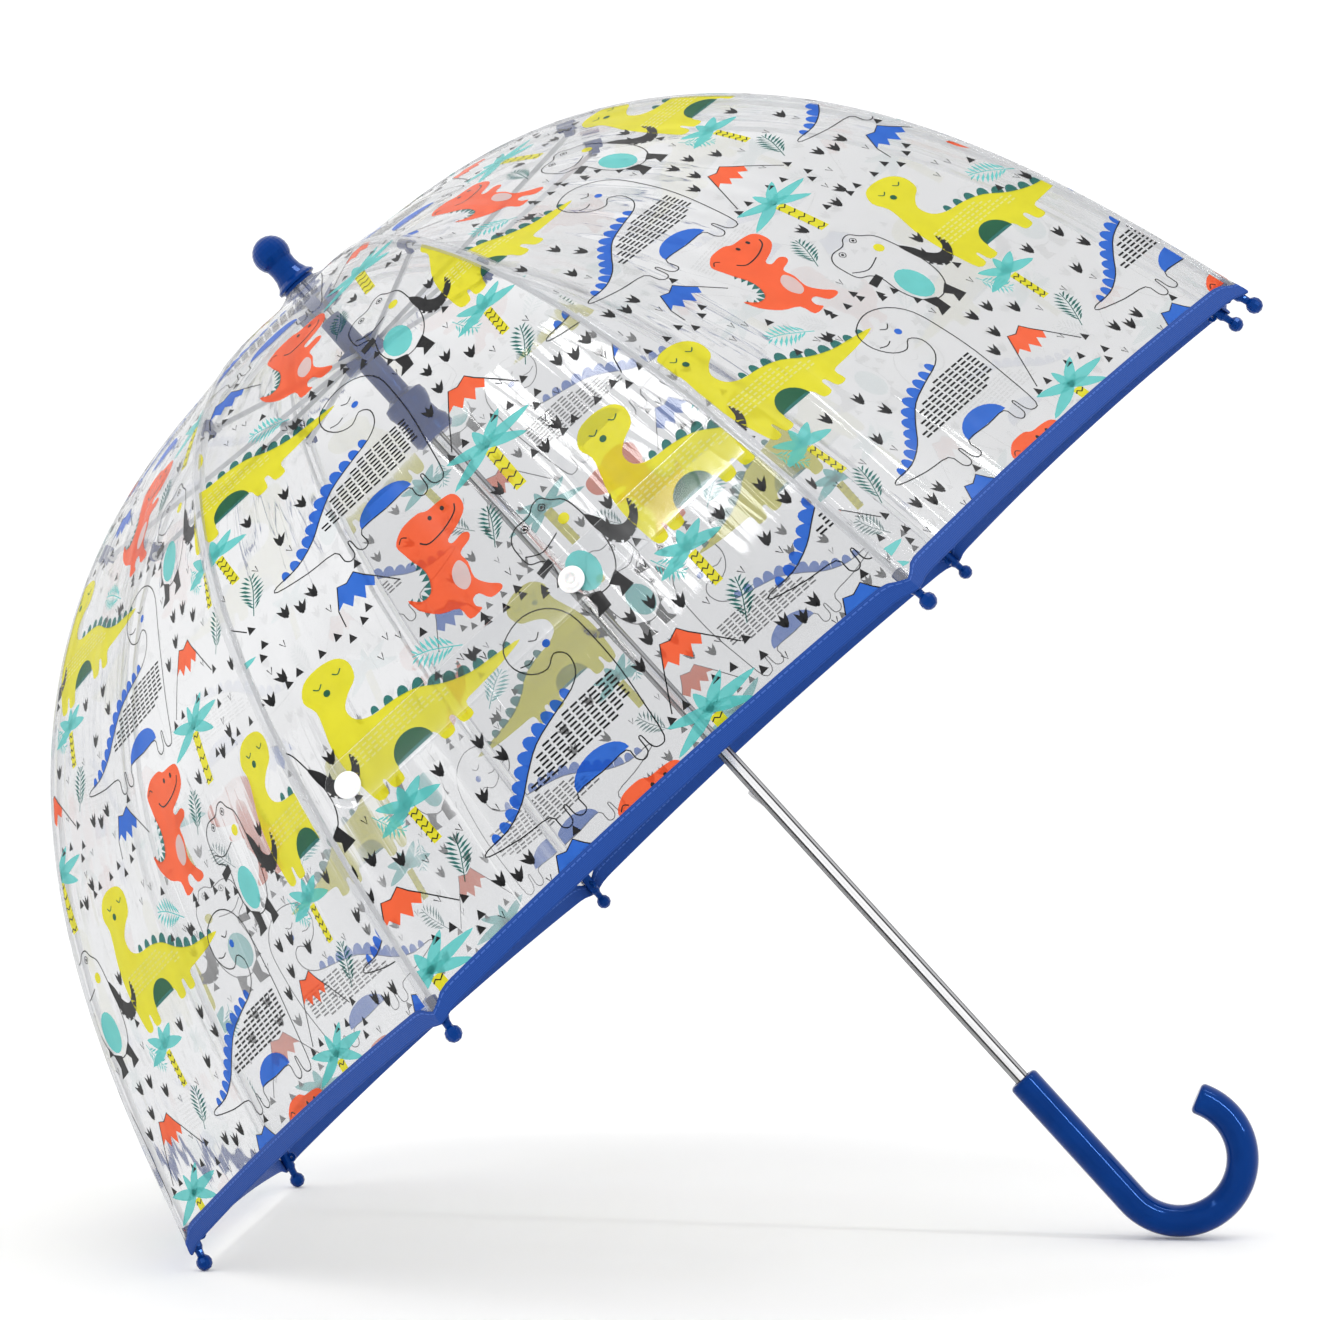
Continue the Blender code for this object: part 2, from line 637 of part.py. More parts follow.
# ---- resting position ---------------------------------------------------------------------------
def stand_on_floor(root, objects):
    """Moves the tilted umbrella so that its box stands on z = 0, centred on the origin."""
    bpy.context.view_layer.update()
    view = bpy.context.evaluated_depsgraph_get()
    points = []
    for item in objects:
        seen = item.evaluated_get(view)
        mesh = seen.to_mesh()
        points += [seen.matrix_world @ v.co for v in mesh.vertices]
        seen.to_mesh_clear()
    low = [min(p[i] for p in points) for i in range(3)]
    high = [max(p[i] for p in points) for i in range(3)]
    root.location.x -= (low[0] + high[0]) / 2
    root.location.y -= (low[1] + high[1]) / 2
    root.location.z -= low[2]


def main():
    for old in list(bpy.data.objects):
        bpy.data.objects.remove(old)
    parts = collection("childrens_umbrella")
    cutters = collection("cutters")
    blue = material("gloss_blue_plastic", (0.0, 0.032, 0.27), 0.12)
    steel = material("plated_steel", (0.78, 0.78, 0.80), 0.22, 1.0)
    wire = material("painted_wire", (0.70, 0.71, 0.73), 0.35, 0.6)
    film = material("clear_film", (0.93, 0.95, 0.96), 0.08, 0.0, 0.35)
    white = material("white_snap", (0.88, 0.88, 0.87), 0.30)

    tilt = Matrix.Rotation(math.radians(-SHAFT_TILT), 4, "Y")
    root = empty("umbrella", parts, None, tilt)
    travel = runner_travel()
    notch = CROWN_HEIGHT - NOTCH_BELOW_CROWN
    foot = notch - 0.0555
    catches = {"upper_spring_catch": foot - CATCH_LENGTH / 2 - FACE_GAP,
               "lower_spring_catch": foot - travel - CATCH_LENGTH / 2 - FACE_GAP}

    make_handle(parts, blue, root)
    make_shaft(parts, cutters, steel, root, catches)
    for name, height in catches.items():
        make_catch(name, height, parts, wire, root)
    make_knob(parts, blue, root)
    make_crown(parts, cutters, blue, wire, root)
    runner_frame = empty("runner_frame", parts, root, at(0, 0, notch))
    make_runner(parts, cutters, blue, runner_frame)

    rib, clip, tip, stretcher = rib_mesh(), clip_mesh(), tip_mesh(), stretcher_mesh()
    r, z = clip_pivot()
    rise = math.atan2(z + NOTCH_BELOW_CROWN, r - PIVOT_RADIUS)
    frames = {}
    for number in range(1, RIB_COUNT + 1):
        turn = about_z(rib_azimuth(number))
        pivot = empty(f"rib_pivot_{number}", parts, root,
                      at(0, 0, CROWN_HEIGHT) @ turn @ at(PIVOT_RADIUS, 0, 0))
        frames[number] = pivot
        place(rib, f"rib_{number}", parts, wire, pivot)
        place(clip, f"rib_clip_{number}", parts, blue, pivot)
        place(tip, f"rib_tip_{number}", parts, blue, pivot)
        place(stretcher, f"stretcher_{number}", parts, wire, runner_frame,
              turn @ at(PIVOT_RADIUS, STRETCHER_OFFSET, 0) @ Matrix.Rotation(-rise, 4, "Y"))
    make_panels(parts, film, frames)
    make_strap(parts, film, white, frames[STRAP_RIB])
    stand_on_floor(root, [o for o in parts.objects if o.type == "MESH"])


main()
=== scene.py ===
"""Looks of the children's dome umbrella: clear printed film, woven hem tape, strap and materials, built
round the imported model. Positions come from the model's joints and the same dimensions as its solids."""

import json
import math

import bmesh
import bpy
import numpy as np
from mathutils import Matrix, Vector

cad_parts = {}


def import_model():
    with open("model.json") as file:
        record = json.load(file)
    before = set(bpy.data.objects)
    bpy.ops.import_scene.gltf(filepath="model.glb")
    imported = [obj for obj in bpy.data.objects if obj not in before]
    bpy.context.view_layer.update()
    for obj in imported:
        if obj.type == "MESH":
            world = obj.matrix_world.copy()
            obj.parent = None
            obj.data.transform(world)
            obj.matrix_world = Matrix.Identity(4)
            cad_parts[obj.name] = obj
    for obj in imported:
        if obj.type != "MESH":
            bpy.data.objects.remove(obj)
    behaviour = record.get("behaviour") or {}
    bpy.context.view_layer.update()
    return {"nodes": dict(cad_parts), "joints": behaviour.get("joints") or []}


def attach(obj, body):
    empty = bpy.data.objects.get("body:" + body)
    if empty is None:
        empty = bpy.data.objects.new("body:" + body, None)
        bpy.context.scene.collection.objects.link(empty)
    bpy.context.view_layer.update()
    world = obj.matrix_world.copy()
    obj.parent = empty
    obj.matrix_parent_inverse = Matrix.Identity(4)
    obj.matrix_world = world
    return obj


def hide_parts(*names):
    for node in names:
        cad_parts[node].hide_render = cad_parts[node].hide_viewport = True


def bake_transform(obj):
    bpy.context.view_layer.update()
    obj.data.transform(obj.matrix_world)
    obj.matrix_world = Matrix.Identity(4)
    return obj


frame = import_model()
NODES = frame["nodes"]
JOINTS = {j["name"]: j for j in frame["joints"]}

# ---- dimensions, in metres, in the shaft's frame -------------------------------------------------
RIBS = 8
RIM, PIVOT = 0.360, 0.009
END_SLOPE = math.radians(73.5)
SLOPE_EARLY, SLOPE_LATE = 1.965, 1.65   # how the meridian's slope grows from the crown to the rim
FILM_OFFSET, FILM_PEAK, FILM_FADE = 0.0036, 0.009, 0.020
HEM_SETBACK, SCALLOP = 0.008, 0.004
STRAP_ARC, STRAP_WIDTH = 0.404, 0.024
HANDLE_TOP, GRIP_LENGTH, HANDLE_RADIUS, HANDLE_EDGE = -0.204, 0.0805, 0.0079, 0.0024
CROOK_RADIUS, CROOK_SWEEP, CROOK_TAIL = 0.031, math.radians(205), 0.004
SHAFT_BORE = 0.00405
HALF = math.pi / RIBS
SECTOR_END = 0.012          # arc where the apex sectors hand over to the half panels
TILT = math.radians(42.5)


# ---- dome ---------------------------------------------------------------------------------------
STEPS = 400
_slopes = END_SLOPE * (1 - (1 - (np.arange(STEPS) + 0.5) / STEPS) ** SLOPE_EARLY) ** SLOPE_LATE
_r = np.concatenate([[0], np.cumsum(np.cos(_slopes))])
_z = -np.concatenate([[0], np.cumsum(np.sin(_slopes))])
_scale = (RIM - PIVOT) / _r[-1]
LENGTH = _scale * STEPS
ARC = np.linspace(0, LENGTH, STEPS + 1)
RADII, DROPS = PIVOT + _r * _scale, _z * _scale
CROWN = -DROPS[-1]
HEM = LENGTH - HEM_SETBACK


def slope(s):
    u = np.clip(np.asarray(s) / LENGTH, 0, 1)
    return END_SLOPE * (1 - (1 - u) ** SLOPE_EARLY) ** SLOPE_LATE


def meridian(s, lift=0.0):
    """Radius and height from the crown of the film above a rib, lifted outwards."""
    s = np.asarray(s, float)
    out = FILM_OFFSET + FILM_PEAK * np.exp(-s / FILM_FADE) + lift
    tilt = slope(s)
    return np.interp(s, ARC, RADII) + out * np.sin(tilt), np.interp(s, ARC, DROPS) + out * np.cos(tilt)


def half_width(s):
    """Rib to middle line of a panel, straight across."""
    return meridian(s)[0] * math.sin(HALF)


def film(s, share, side, lift=0.0):
    """Points of a half panel in its rib's frame. share is 0 at the rib and 1 at the panel's middle."""
    s, share = np.broadcast_arrays(np.asarray(s, float), np.asarray(share, float))
    r, z = meridian(s, lift)
    middle = r * math.cos(HALF)
    z = z + SCALLOP * (np.clip(s, 0, None) / LENGTH) ** 8 * (1 - (1 - share) ** 2)
    x = r * (1 - share) + middle * math.cos(HALF) * share
    y = side * middle * math.sin(HALF) * share
    return np.stack([x, y, z], -1)


# ---- where the umbrella stands ------------------------------------------------------------------
pivots = [Vector(JOINTS[f"rib_{k}_swing"]["pos_m"]) for k in range(1, RIBS + 1)]
crown_centre = sum(pivots, Vector()) / RIBS
SHAFT = Matrix.Translation(crown_centre) @ Matrix.Rotation(-TILT, 4, "Y")
SHAFT = SHAFT @ Matrix.Translation((0, 0, -CROWN))


def rib_frame(k):
    """Frame of a rib: origin on the shaft's axis at the crown, x along the rib."""
    return SHAFT @ Matrix.Translation((0, 0, CROWN)) @ Matrix.Rotation((2 * k - 1) * HALF, 4, "Z")


def world(matrix, points):
    """Points of a frame in the scene's own axes."""
    m = np.array(matrix)
    return np.asarray(points, float) @ m[:3, :3].T + m[:3, 3]


# ---- building objects ---------------------------------------------------------------------------
def new_object(name, verts, faces, mats, uv=None, index=None):
    """Smooth-shaded mesh object; uv is per point and index is each face's material."""
    mesh = bpy.data.meshes.new(name)
    mesh.from_pydata([tuple(v) for v in verts], [], [tuple(int(i) for i in f) for f in faces])
    for m in mats if isinstance(mats, list) else [mats]:
        mesh.materials.append(m)
    if uv is not None:
        layer = mesh.uv_layers.new(name="UVMap")
        loops = np.zeros(len(mesh.loops), np.int32)
        mesh.loops.foreach_get("vertex_index", loops)
        layer.data.foreach_set("uv", np.asarray(uv, np.float32)[loops].ravel())
    if index is not None:
        mesh.polygons.foreach_set("material_index", np.asarray(index, np.int32))
    mesh.shade_smooth()
    made = bpy.data.objects.new(name, mesh)
    bpy.context.scene.collection.objects.link(made)
    return made


def grid_faces(rows, columns, flip=False):
    """Quads of a grid of points, row by row."""
    faces = []
    for i in range(rows - 1):
        for j in range(columns - 1):
            a = i * columns + j
            quad = (a, a + columns, a + columns + 1, a + 1)
            faces.append(quad[::-1] if flip else quad)
    return faces


def half_name(kind, k, side):
    """Name of one of the two halves beside rib k."""
    return f"{kind}_{k}{'a' if side < 0 else 'b'}"


def fold_with_panel(obj):
    """Bakes the piece's placement into its mesh."""
    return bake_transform(obj)


# ---- materials ----------------------------------------------------------------------------------
def nodes_of(name):
    """A new material with its tree, its Principled shader and its output."""
    m = bpy.data.materials.new(name)
    m.use_nodes = True
    t = m.node_tree
    return m, t, t.nodes["Principled BSDF"], t.nodes["Material Output"]


def node(t, kind, **values):
    n = t.nodes.new(kind)
    for key, value in values.items():
        if key in n.inputs:
            n.inputs[key].default_value = value
        else:
            setattr(n, key, value)
    return n


def coords(t, scale, uv=False):
    """Object coordinates in metres, or UV, scaled."""
    c = node(t, "ShaderNodeTexCoord")
    m = node(t, "ShaderNodeMapping")
    m.inputs["Scale"].default_value = scale
    t.links.new(c.outputs["UV" if uv else "Object"], m.inputs["Vector"])
    return m.outputs["Vector"]


def noise(t, vector, scale=1.0, detail=3.0, rough=0.5):
    n = node(t, "ShaderNodeTexNoise", Scale=scale, Detail=detail, Roughness=rough)
    t.links.new(vector, n.inputs["Vector"])
    return n.outputs["Fac"]


def ramp(t, factor, low, high, start=0.3, end=0.7):
    r = node(t, "ShaderNodeValToRGB")
    r.color_ramp.elements[0].position, r.color_ramp.elements[1].position = start, end
    r.color_ramp.elements[0].color, r.color_ramp.elements[1].color = (*low, 1), (*high, 1)
    t.links.new(factor, r.inputs["Fac"])
    return r.outputs["Color"]


def level(t, factor, low, high):
    """Maps 0 to 1 onto low to high."""
    r = node(t, "ShaderNodeMapRange")
    r.inputs["To Min"].default_value, r.inputs["To Max"].default_value = low, high
    t.links.new(factor, r.inputs["Value"])
    return r.outputs["Result"]


def bump(t, height, strength, distance, onto):
    b = node(t, "ShaderNodeBump", Strength=strength, Distance=distance)
    t.links.new(height, b.inputs["Height"])
    for shader in onto:
        t.links.new(b.outputs["Normal"], shader.inputs["Normal"])


def math_node(t, operation, a, b=None):
    n = node(t, "ShaderNodeMath", operation=operation)
    for i, value in enumerate((a, b)):
        if value is None:
            continue
        if isinstance(value, (int, float)):
            n.inputs[i].default_value = value
        else:
            t.links.new(value, n.inputs[i])
    return n.outputs[0]


def blue_plastic():
    """Glossy blue moulding, slightly mottled, of the handle, knob, runner, clips and tips."""
    m, t, p, _ = nodes_of("moulded_blue")
    p.inputs["Specular Tint"].default_value = (0.13, 0.33, 0.92, 1)
    v = coords(t, (1, 1, 1))
    mottled = noise(t, v, 55, 4)
    t.links.new(ramp(t, mottled, (0.0003, 0.022, 0.145), (0.0006, 0.029, 0.18)), p.inputs["Base Color"])
    t.links.new(level(t, noise(t, v, 260, 3), 0.07, 0.13), p.inputs["Roughness"])
    bump(t, noise(t, v, 420, 4), 0.05, 0.0001, [p])
    return m


def chrome():
    """Plated tube with a painted reflection in its colour: bright in the middle, with painted dark lines
    towards its edges such as a bright room leaves on it.
    """
    m, t, p, _ = nodes_of("plated_tube")
    p.inputs["Metallic"].default_value = 1.0
    v = coords(t, (60, 60, 60))
    t.links.new(level(t, noise(t, v, 2, 2), 0.08, 0.14), p.inputs["Roughness"])
    p.inputs["Specular Tint"].default_value = (0.25, 0.25, 0.26, 1)
    # painted reflection: the base colour follows how squarely the tube faces the view, bright in the
    # middle, then dark lines, a lighter band and darker edges
    edge = node(t, "ShaderNodeLayerWeight", Blend=0.5)
    painted_reflection_bands = node(t, "ShaderNodeValToRGB")
    stops = painted_reflection_bands.color_ramp.elements
    for at, grey in ((0.10, 0.05), (0.22, 0.10), (0.30, 0.52)):
        stops.new(at).color = (grey, grey, grey * 1.02, 1)
    stops[0].position, stops[0].color = 0.055, (0.80, 0.80, 0.81, 1)
    stops[-1].position, stops[-1].color = 0.70, (0.30, 0.30, 0.31, 1)
    t.links.new(edge.outputs["Facing"], painted_reflection_bands.inputs["Fac"])
    t.links.new(painted_reflection_bands.outputs["Color"], p.inputs["Base Color"])
    return m


def wire(name, low, high, metallic, rough):
    """Drawn wire or spring steel, bare or coated."""
    m, t, p, _ = nodes_of(name)
    p.inputs["Metallic"].default_value = metallic
    v = coords(t, (1, 1, 1))
    t.links.new(ramp(t, noise(t, v, 130, 4), low, high), p.inputs["Base Color"])
    t.links.new(level(t, noise(t, v, 400, 3), rough, rough + 0.18), p.inputs["Roughness"])
    bump(t, noise(t, v, 900, 3), 0.08, 0.0001, [p])
    return m


def wrinkles(t):
    """Broad waves and thin creases drawn out along the ribs; u runs across the panel, v along it."""
    broad = noise(t, coords(t, (4.5, 1.4, 1), uv=True), 1.0, 1.0, 0.4)
    total = broad
    for scale, strength in (((9, 1.3, 1), 0.02), ((21, 2.2, 1), 0.003)):
        field = noise(t, coords(t, scale, uv=True), 1, 1, 0.4)
        near = math_node(t, "ABSOLUTE", math_node(t, "SUBTRACT", field, 0.5))
        steep = math_node(t, "MULTIPLY", near, 22.0)
        crease = math_node(t, "MAXIMUM", math_node(t, "SUBTRACT", 1.0, steep), 0.0)
        total = math_node(t, "ADD", total, math_node(t, "MULTIPLY", crease, strength))
    return total


def clear_film(name, clear, haze, rough, crease, mirror=0.85):
    """Thin clear sheet: sees through, mirrors at its Fresnel share, with a trace of milkiness."""
    m, t, p, out = nodes_of(name)
    p.inputs["Base Color"].default_value = (0.80, 0.81, 0.83, 1)
    p.inputs["Roughness"].default_value = 0.5
    see = node(t, "ShaderNodeBsdfTransparent")
    see.inputs["Color"].default_value = (*clear, 1)
    shine = node(t, "ShaderNodeBsdfGlossy")
    shine.inputs["Color"].default_value = (1, 1, 1, 1)
    shine.inputs["Roughness"].default_value = rough
    fresnel = node(t, "ShaderNodeFresnel", IOR=1.5)
    b = node(t, "ShaderNodeBump", Strength=crease, Distance=0.004)
    t.links.new(wrinkles(t), b.inputs["Height"])
    for n in (shine, fresnel):
        t.links.new(b.outputs["Normal"], n.inputs["Normal"])
    first = node(t, "ShaderNodeMixShader")
    t.links.new(math_node(t, "MULTIPLY", fresnel.outputs[0], mirror), first.inputs["Fac"])
    t.links.new(see.outputs[0], first.inputs[1])
    t.links.new(shine.outputs[0], first.inputs[2])
    second = node(t, "ShaderNodeMixShader")
    milk = level(t, noise(t, coords(t, (3, 9, 1), uv=True), 1.0, 3.0), haze * 0.6, haze * 1.5)
    t.links.new(milk, second.inputs["Fac"])
    t.links.new(first.outputs[0], second.inputs[1])
    t.links.new(p.outputs[0], second.inputs[2])
    t.links.new(second.outputs[0], out.inputs["Surface"])
    return m


def ink(name, colour, tint):
    """Printing ink: mostly opaque, and what light comes through it takes its tint."""
    m, t, p, out = nodes_of("ink_" + name)
    v = coords(t, (1, 1, 1))
    low = tuple(c * 0.9 for c in colour)
    t.links.new(ramp(t, noise(t, v, 90, 4), low, colour), p.inputs["Base Color"])
    t.links.new(level(t, noise(t, v, 300, 2), 0.16, 0.30), p.inputs["Roughness"])
    p.inputs["Specular IOR Level"].default_value = 0.2
    bump(t, wrinkles(t), 0.42, 0.004, [p])
    see = node(t, "ShaderNodeBsdfTransparent")
    see.inputs["Color"].default_value = (*tint, 1)
    both = node(t, "ShaderNodeMixShader")
    both.inputs["Fac"].default_value = 0.97 if name == "black" else 0.64
    t.links.new(see.outputs[0], both.inputs[1])
    t.links.new(p.outputs[0], both.inputs[2])
    t.links.new(both.outputs[0], out.inputs["Surface"])
    return m


def hem_tape():
    """Ribbed woven tape with a line of stitches. UV is in millimetres: along, across."""
    m, t, p, _ = nodes_of("woven_hem_tape")
    p.inputs["Sheen Weight"].default_value = 0.06
    p.inputs["Sheen Roughness"].default_value = 0.4
    p.inputs["Specular IOR Level"].default_value = 0.14
    c = node(t, "ShaderNodeTexCoord")
    split = node(t, "ShaderNodeSeparateXYZ")
    t.links.new(c.outputs["UV"], split.inputs[0])
    u, w = split.outputs[0], split.outputs[1]
    rib = math_node(t, "ABSOLUTE", math_node(t, "SINE", math_node(t, "MULTIPLY", u, math.pi / 0.55)))
    pick = math_node(t, "ABSOLUTE", math_node(t, "SINE", math_node(t, "MULTIPLY", w, math.pi / 0.8)))
    dash = math_node(t, "LESS_THAN", math_node(t, "FRACT", math_node(t, "DIVIDE", u, 3.2)), 0.74)
    near = math_node(t, "LESS_THAN", math_node(t, "ABSOLUTE", math_node(t, "SUBTRACT", w, 7.4)), 0.35)
    stitch = math_node(t, "MULTIPLY", dash, near)
    weave = math_node(t, "MULTIPLY", rib, pick)
    # painted shade: the tape's colour is darker in the gaps between the threads and lighter on their
    # crowns, following the same weave as the bump
    weave_colour_with_painted_shade = ramp(t, weave, (0.005, 0.036, 0.20), (0.018, 0.080, 0.36), 0.0, 0.9)
    mixed = node(t, "ShaderNodeMix", data_type="RGBA")
    t.links.new(stitch, mixed.inputs[0])
    t.links.new(weave_colour_with_painted_shade, mixed.inputs[6])
    mixed.inputs[7].default_value = (0.045, 0.115, 0.42, 1)
    t.links.new(mixed.outputs[2], p.inputs["Base Color"])
    t.links.new(level(t, weave, 0.62, 0.42), p.inputs["Roughness"])
    height = math_node(t, "ADD", math_node(t, "MULTIPLY", weave, 0.35), stitch)
    bump(t, height, 0.6, 0.0003, [p])
    return m


def snap_plastic():
    """White press stud, a little translucent."""
    m, t, p, _ = nodes_of("snap_white")
    v = coords(t, (1, 1, 1))
    t.links.new(ramp(t, noise(t, v, 300, 3), (0.80, 0.80, 0.79), (0.90, 0.90, 0.90)),
                p.inputs["Base Color"])
    p.inputs["Roughness"].default_value = 0.25
    p.inputs["Subsurface Weight"].default_value = 0.15
    p.inputs["Subsurface Scale"].default_value = 0.002
    bump(t, noise(t, v, 900, 2), 0.05, 0.0001, [p])
    return m


BLUE, CHROME = blue_plastic(), chrome()
WIRE = wire("white_coated_wire", (0.90, 0.905, 0.91), (0.96, 0.965, 0.97), 0.0, 0.2)
STEEL = wire("zinc_wire", (0.50, 0.51, 0.53), (0.66, 0.67, 0.69), 1.0, 0.25)
SPRING = wire("spring_steel", (0.45, 0.45, 0.46), (0.60, 0.60, 0.61), 1.0, 0.22)
FILM = clear_film("clear_film", (0.775, 0.778, 0.787), 0.075, 0.045, 0.42)
SEAM = clear_film("welded_seam", (0.86, 0.865, 0.875), 0.10, 0.10, 0.8)
STRAP = clear_film("clear_strap", (0.955, 0.96, 0.965), 0.02, 0.12, 0.3, 0.35)
TAPE = hem_tape()
SNAP = snap_plastic()
# surface colour and the tint of the light that comes through
INK_COLOURS = {
    "yellow": ((0.62, 0.56, 0.004), (1.0, 0.97, 0.10)), "red": ((0.80, 0.075, 0.014), (1.0, 0.30, 0.14)),
    "teal": ((0.09, 0.44, 0.42), (0.35, 0.92, 0.90)), "blue": ((0.006, 0.085, 0.46), (0.10, 0.32, 0.95)),
    "green": ((0.006, 0.075, 0.060), (0.10, 0.45, 0.42)), "black": ((0.004, 0.004, 0.005), (0.3, 0.3, 0.3)),
    "pale": ((0.70, 0.68, 0.28), (1.0, 1.0, 0.6)), "grey": ((0.60, 0.58, 0.58), (1.0, 1.0, 1.0))}
INKS = {name: ink(name, *pair) for name, pair in INK_COLOURS.items()}
INK_ORDER = list(INKS)

# ---- print: one repeating design, in millimetres, x across the panel and y towards the hem ------
REPEAT_X, REPEAT_Y = 165.0, 169.0
PRINT_SIDE, PRINT_TOP, PRINT_END = 180, 24, 512
CUT_PITCH = 12.0            # faces are cut this small, so that the print follows the dome
PRINT_MARGIN = 0.0085       # bare film at the hem, under the tape
EDGE_SHARE = 97.5           # the print stops this far towards the ribs, in hundredths of a half panel
INK_LIFT, LAYER_LIFT = 0.00012, 0.00004
shapes = []                 # (ink, layer, points)


def smooth_line(points, closed=True, steps=5):
    """Catmull-Rom curve through points."""
    p = np.asarray(points, float)
    n = len(p)
    out = []
    for i in range(n if closed else n - 1):
        before = p[(i - 1) % n] if closed or i else p[0]
        a, b = p[i], p[(i + 1) % n]
        after = p[(i + 2) % n] if closed else p[min(i + 2, n - 1)]
        for t in np.arange(steps) / steps:
            out.append(a + 0.5 * t * (b - before + t * (2 * before - 5 * a + 4 * b - after
                                                        + t * (3 * (a - b) + after - before))))
    if not closed:
        out.append(p[-1])
    return np.array(out)


def inside(spot, ring):
    """Whether a point lies inside a closed outline."""
    hit = False
    for a, b in zip(ring, np.roll(ring, -1, axis=0)):
        if (a[1] > spot[1]) != (b[1] > spot[1]):
            if spot[0] < (b[0] - a[0]) * (spot[1] - a[1]) / (b[1] - a[1]) + a[0]:
                hit = not hit
    return hit


class Pen:
    """Draws shapes of one motif at a place, turn and size in the design."""

    def __init__(self, x=0.0, y=0.0, turn=0.0, size=1.0):
        self.x, self.y, self.size = x, y, size
        self.c, self.s = math.cos(math.radians(turn)), math.sin(math.radians(turn))

    def put(self, colour, points, layer=1):
        p = np.asarray(points, float) * self.size
        q = np.stack([p[:, 0] * self.c - p[:, 1] * self.s, p[:, 0] * self.s + p[:, 1] * self.c], -1)
        shapes.append((colour, layer, q + (self.x, self.y)))

    def blob(self, colour, points, layer=1, steps=4):
        self.put(colour, smooth_line(points, True, steps), layer)

    def disc(self, colour, x, y, rx, ry=None, layer=2, start=0, end=360, count=18):
        a = np.radians(np.linspace(start, end, count, endpoint=end - start < 360))
        self.put(colour, np.stack([rx * np.cos(a) + x, (ry or rx) * np.sin(a) + y], -1), layer)

    def line(self, colour, points, width, layer=2, closed=False, steps=4):
        """A stroke as a row of quads, so that it never folds over itself."""
        p = smooth_line(points, closed, steps) if steps > 1 else np.asarray(points, float)
        if closed:
            p = np.vstack([p, p[:1]])
        d = np.gradient(p, axis=0)
        d /= np.maximum(np.linalg.norm(d, axis=1, keepdims=True), 1e-9)
        side = np.stack([-d[:, 1], d[:, 0]], -1) * width / 2
        for i in range(len(p) - 1):
            self.put(colour, [p[i] - side[i], p[i + 1] - side[i + 1], p[i + 1] + side[i + 1],
                              p[i] + side[i]], layer)

    def plates(self, colour, path, count, width, height, pointed=False):
        """Rounded or pointed plates along a path, largest in its middle."""
        p = smooth_line(path, False, 6)
        gone = np.concatenate([[0], np.cumsum(np.linalg.norm(np.diff(p, axis=0), axis=1))])
        for i in range(count):
            at = gone[-1] * (i + 0.5) / count
            spot, ahead, back = (np.array([np.interp(at + shift, gone, p[:, j]) for j in (0, 1)])
                                 for shift in (0, 0.5, -0.5))
            d = (ahead - back) / max(np.linalg.norm(ahead - back), 1e-9)
            out = np.array([-d[1], d[0]])
            k = 0.5 + 0.5 * math.sin(math.pi * (i + 0.9) / (count + 0.6))
            w, h = width * k / 2, height * k
            ring = [(-w, -0.5), (w, -0.5)]
            turns = np.linspace(0, math.pi, 8)
            ring += [(w * 0.1, h)] if pointed else [(w * math.cos(a), h * math.sin(a)) for a in turns]
            self.put(colour, [spot + d * x + out * y for x, y in ring], 0)

    def dashes(self, colour, ring, pitch, row, length, width):
        """Short strokes in rows inside an outline."""
        ring = np.asarray(ring, float)
        x0, y0 = ring.min(axis=0)
        x1, y1 = ring.max(axis=0)
        for j, y in enumerate(np.arange(y0, y1, row)):
            for x in np.arange(x0 + (j % 2) * 0.4, x1, pitch):
                if inside((x, y), ring):
                    h, w = length / 2, width / 2
                    self.put(colour, [(x - h, y - w), (x + h, y - w), (x + h, y + w), (x - h, y + w)], 2)


def yellow_long_neck(pen):
    pen.blob("yellow", [(-95, 366), (-97, 358), (-92, 351), (-83, 349.5), (-74, 352), (-70, 358),
                        (-72, 366), (-79, 370), (-84, 375), (-83, 382), (-76, 386), (-64, 387.5),
                        (-53, 391), (-43, 398), (-31, 403), (-18, 405), (-5, 407.5), (-18, 410), (-32, 411),
                        (-40.5, 412), (-41, 418.5), (-47, 418.5), (-48.5, 412.5), (-51, 412.5),
                        (-52, 418.5), (-58, 418.5), (-60, 412), (-70, 411), (-81, 412), (-82.5, 419),
                        (-88.5, 419), (-89.5, 413), (-91, 413), (-92, 419), (-97.5, 418.5), (-99.5, 408),
                        (-100.5, 396), (-99.5, 384), (-97, 375)], 1, 3)
    pen.plates("green", [(-8, 407), (-31, 403), (-43, 398), (-53, 391), (-64, 387.5), (-78, 385)], 10, 6.4,
               5.0)
    pen.disc("green", -71, 412.6, 10.5, 10, 2, 180, 360, 14)
    pen.dashes("pale", [(-94, 391), (-80, 389), (-62, 391), (-46, 399), (-40, 405), (-56, 402), (-94, 402)],
               3.5, 2.3, 2.3, 0.8)
    pen.line("green", [(-79, 357), (-77, 359), (-74.5, 357.5)], 0.6, 3, steps=3)
    pen.line("green", [(-90, 356.5), (-88, 358.5), (-85.5, 357)], 0.6, 3, steps=3)
    pen.disc("green", -86, 362.5, 1.7, 1.7, 3)


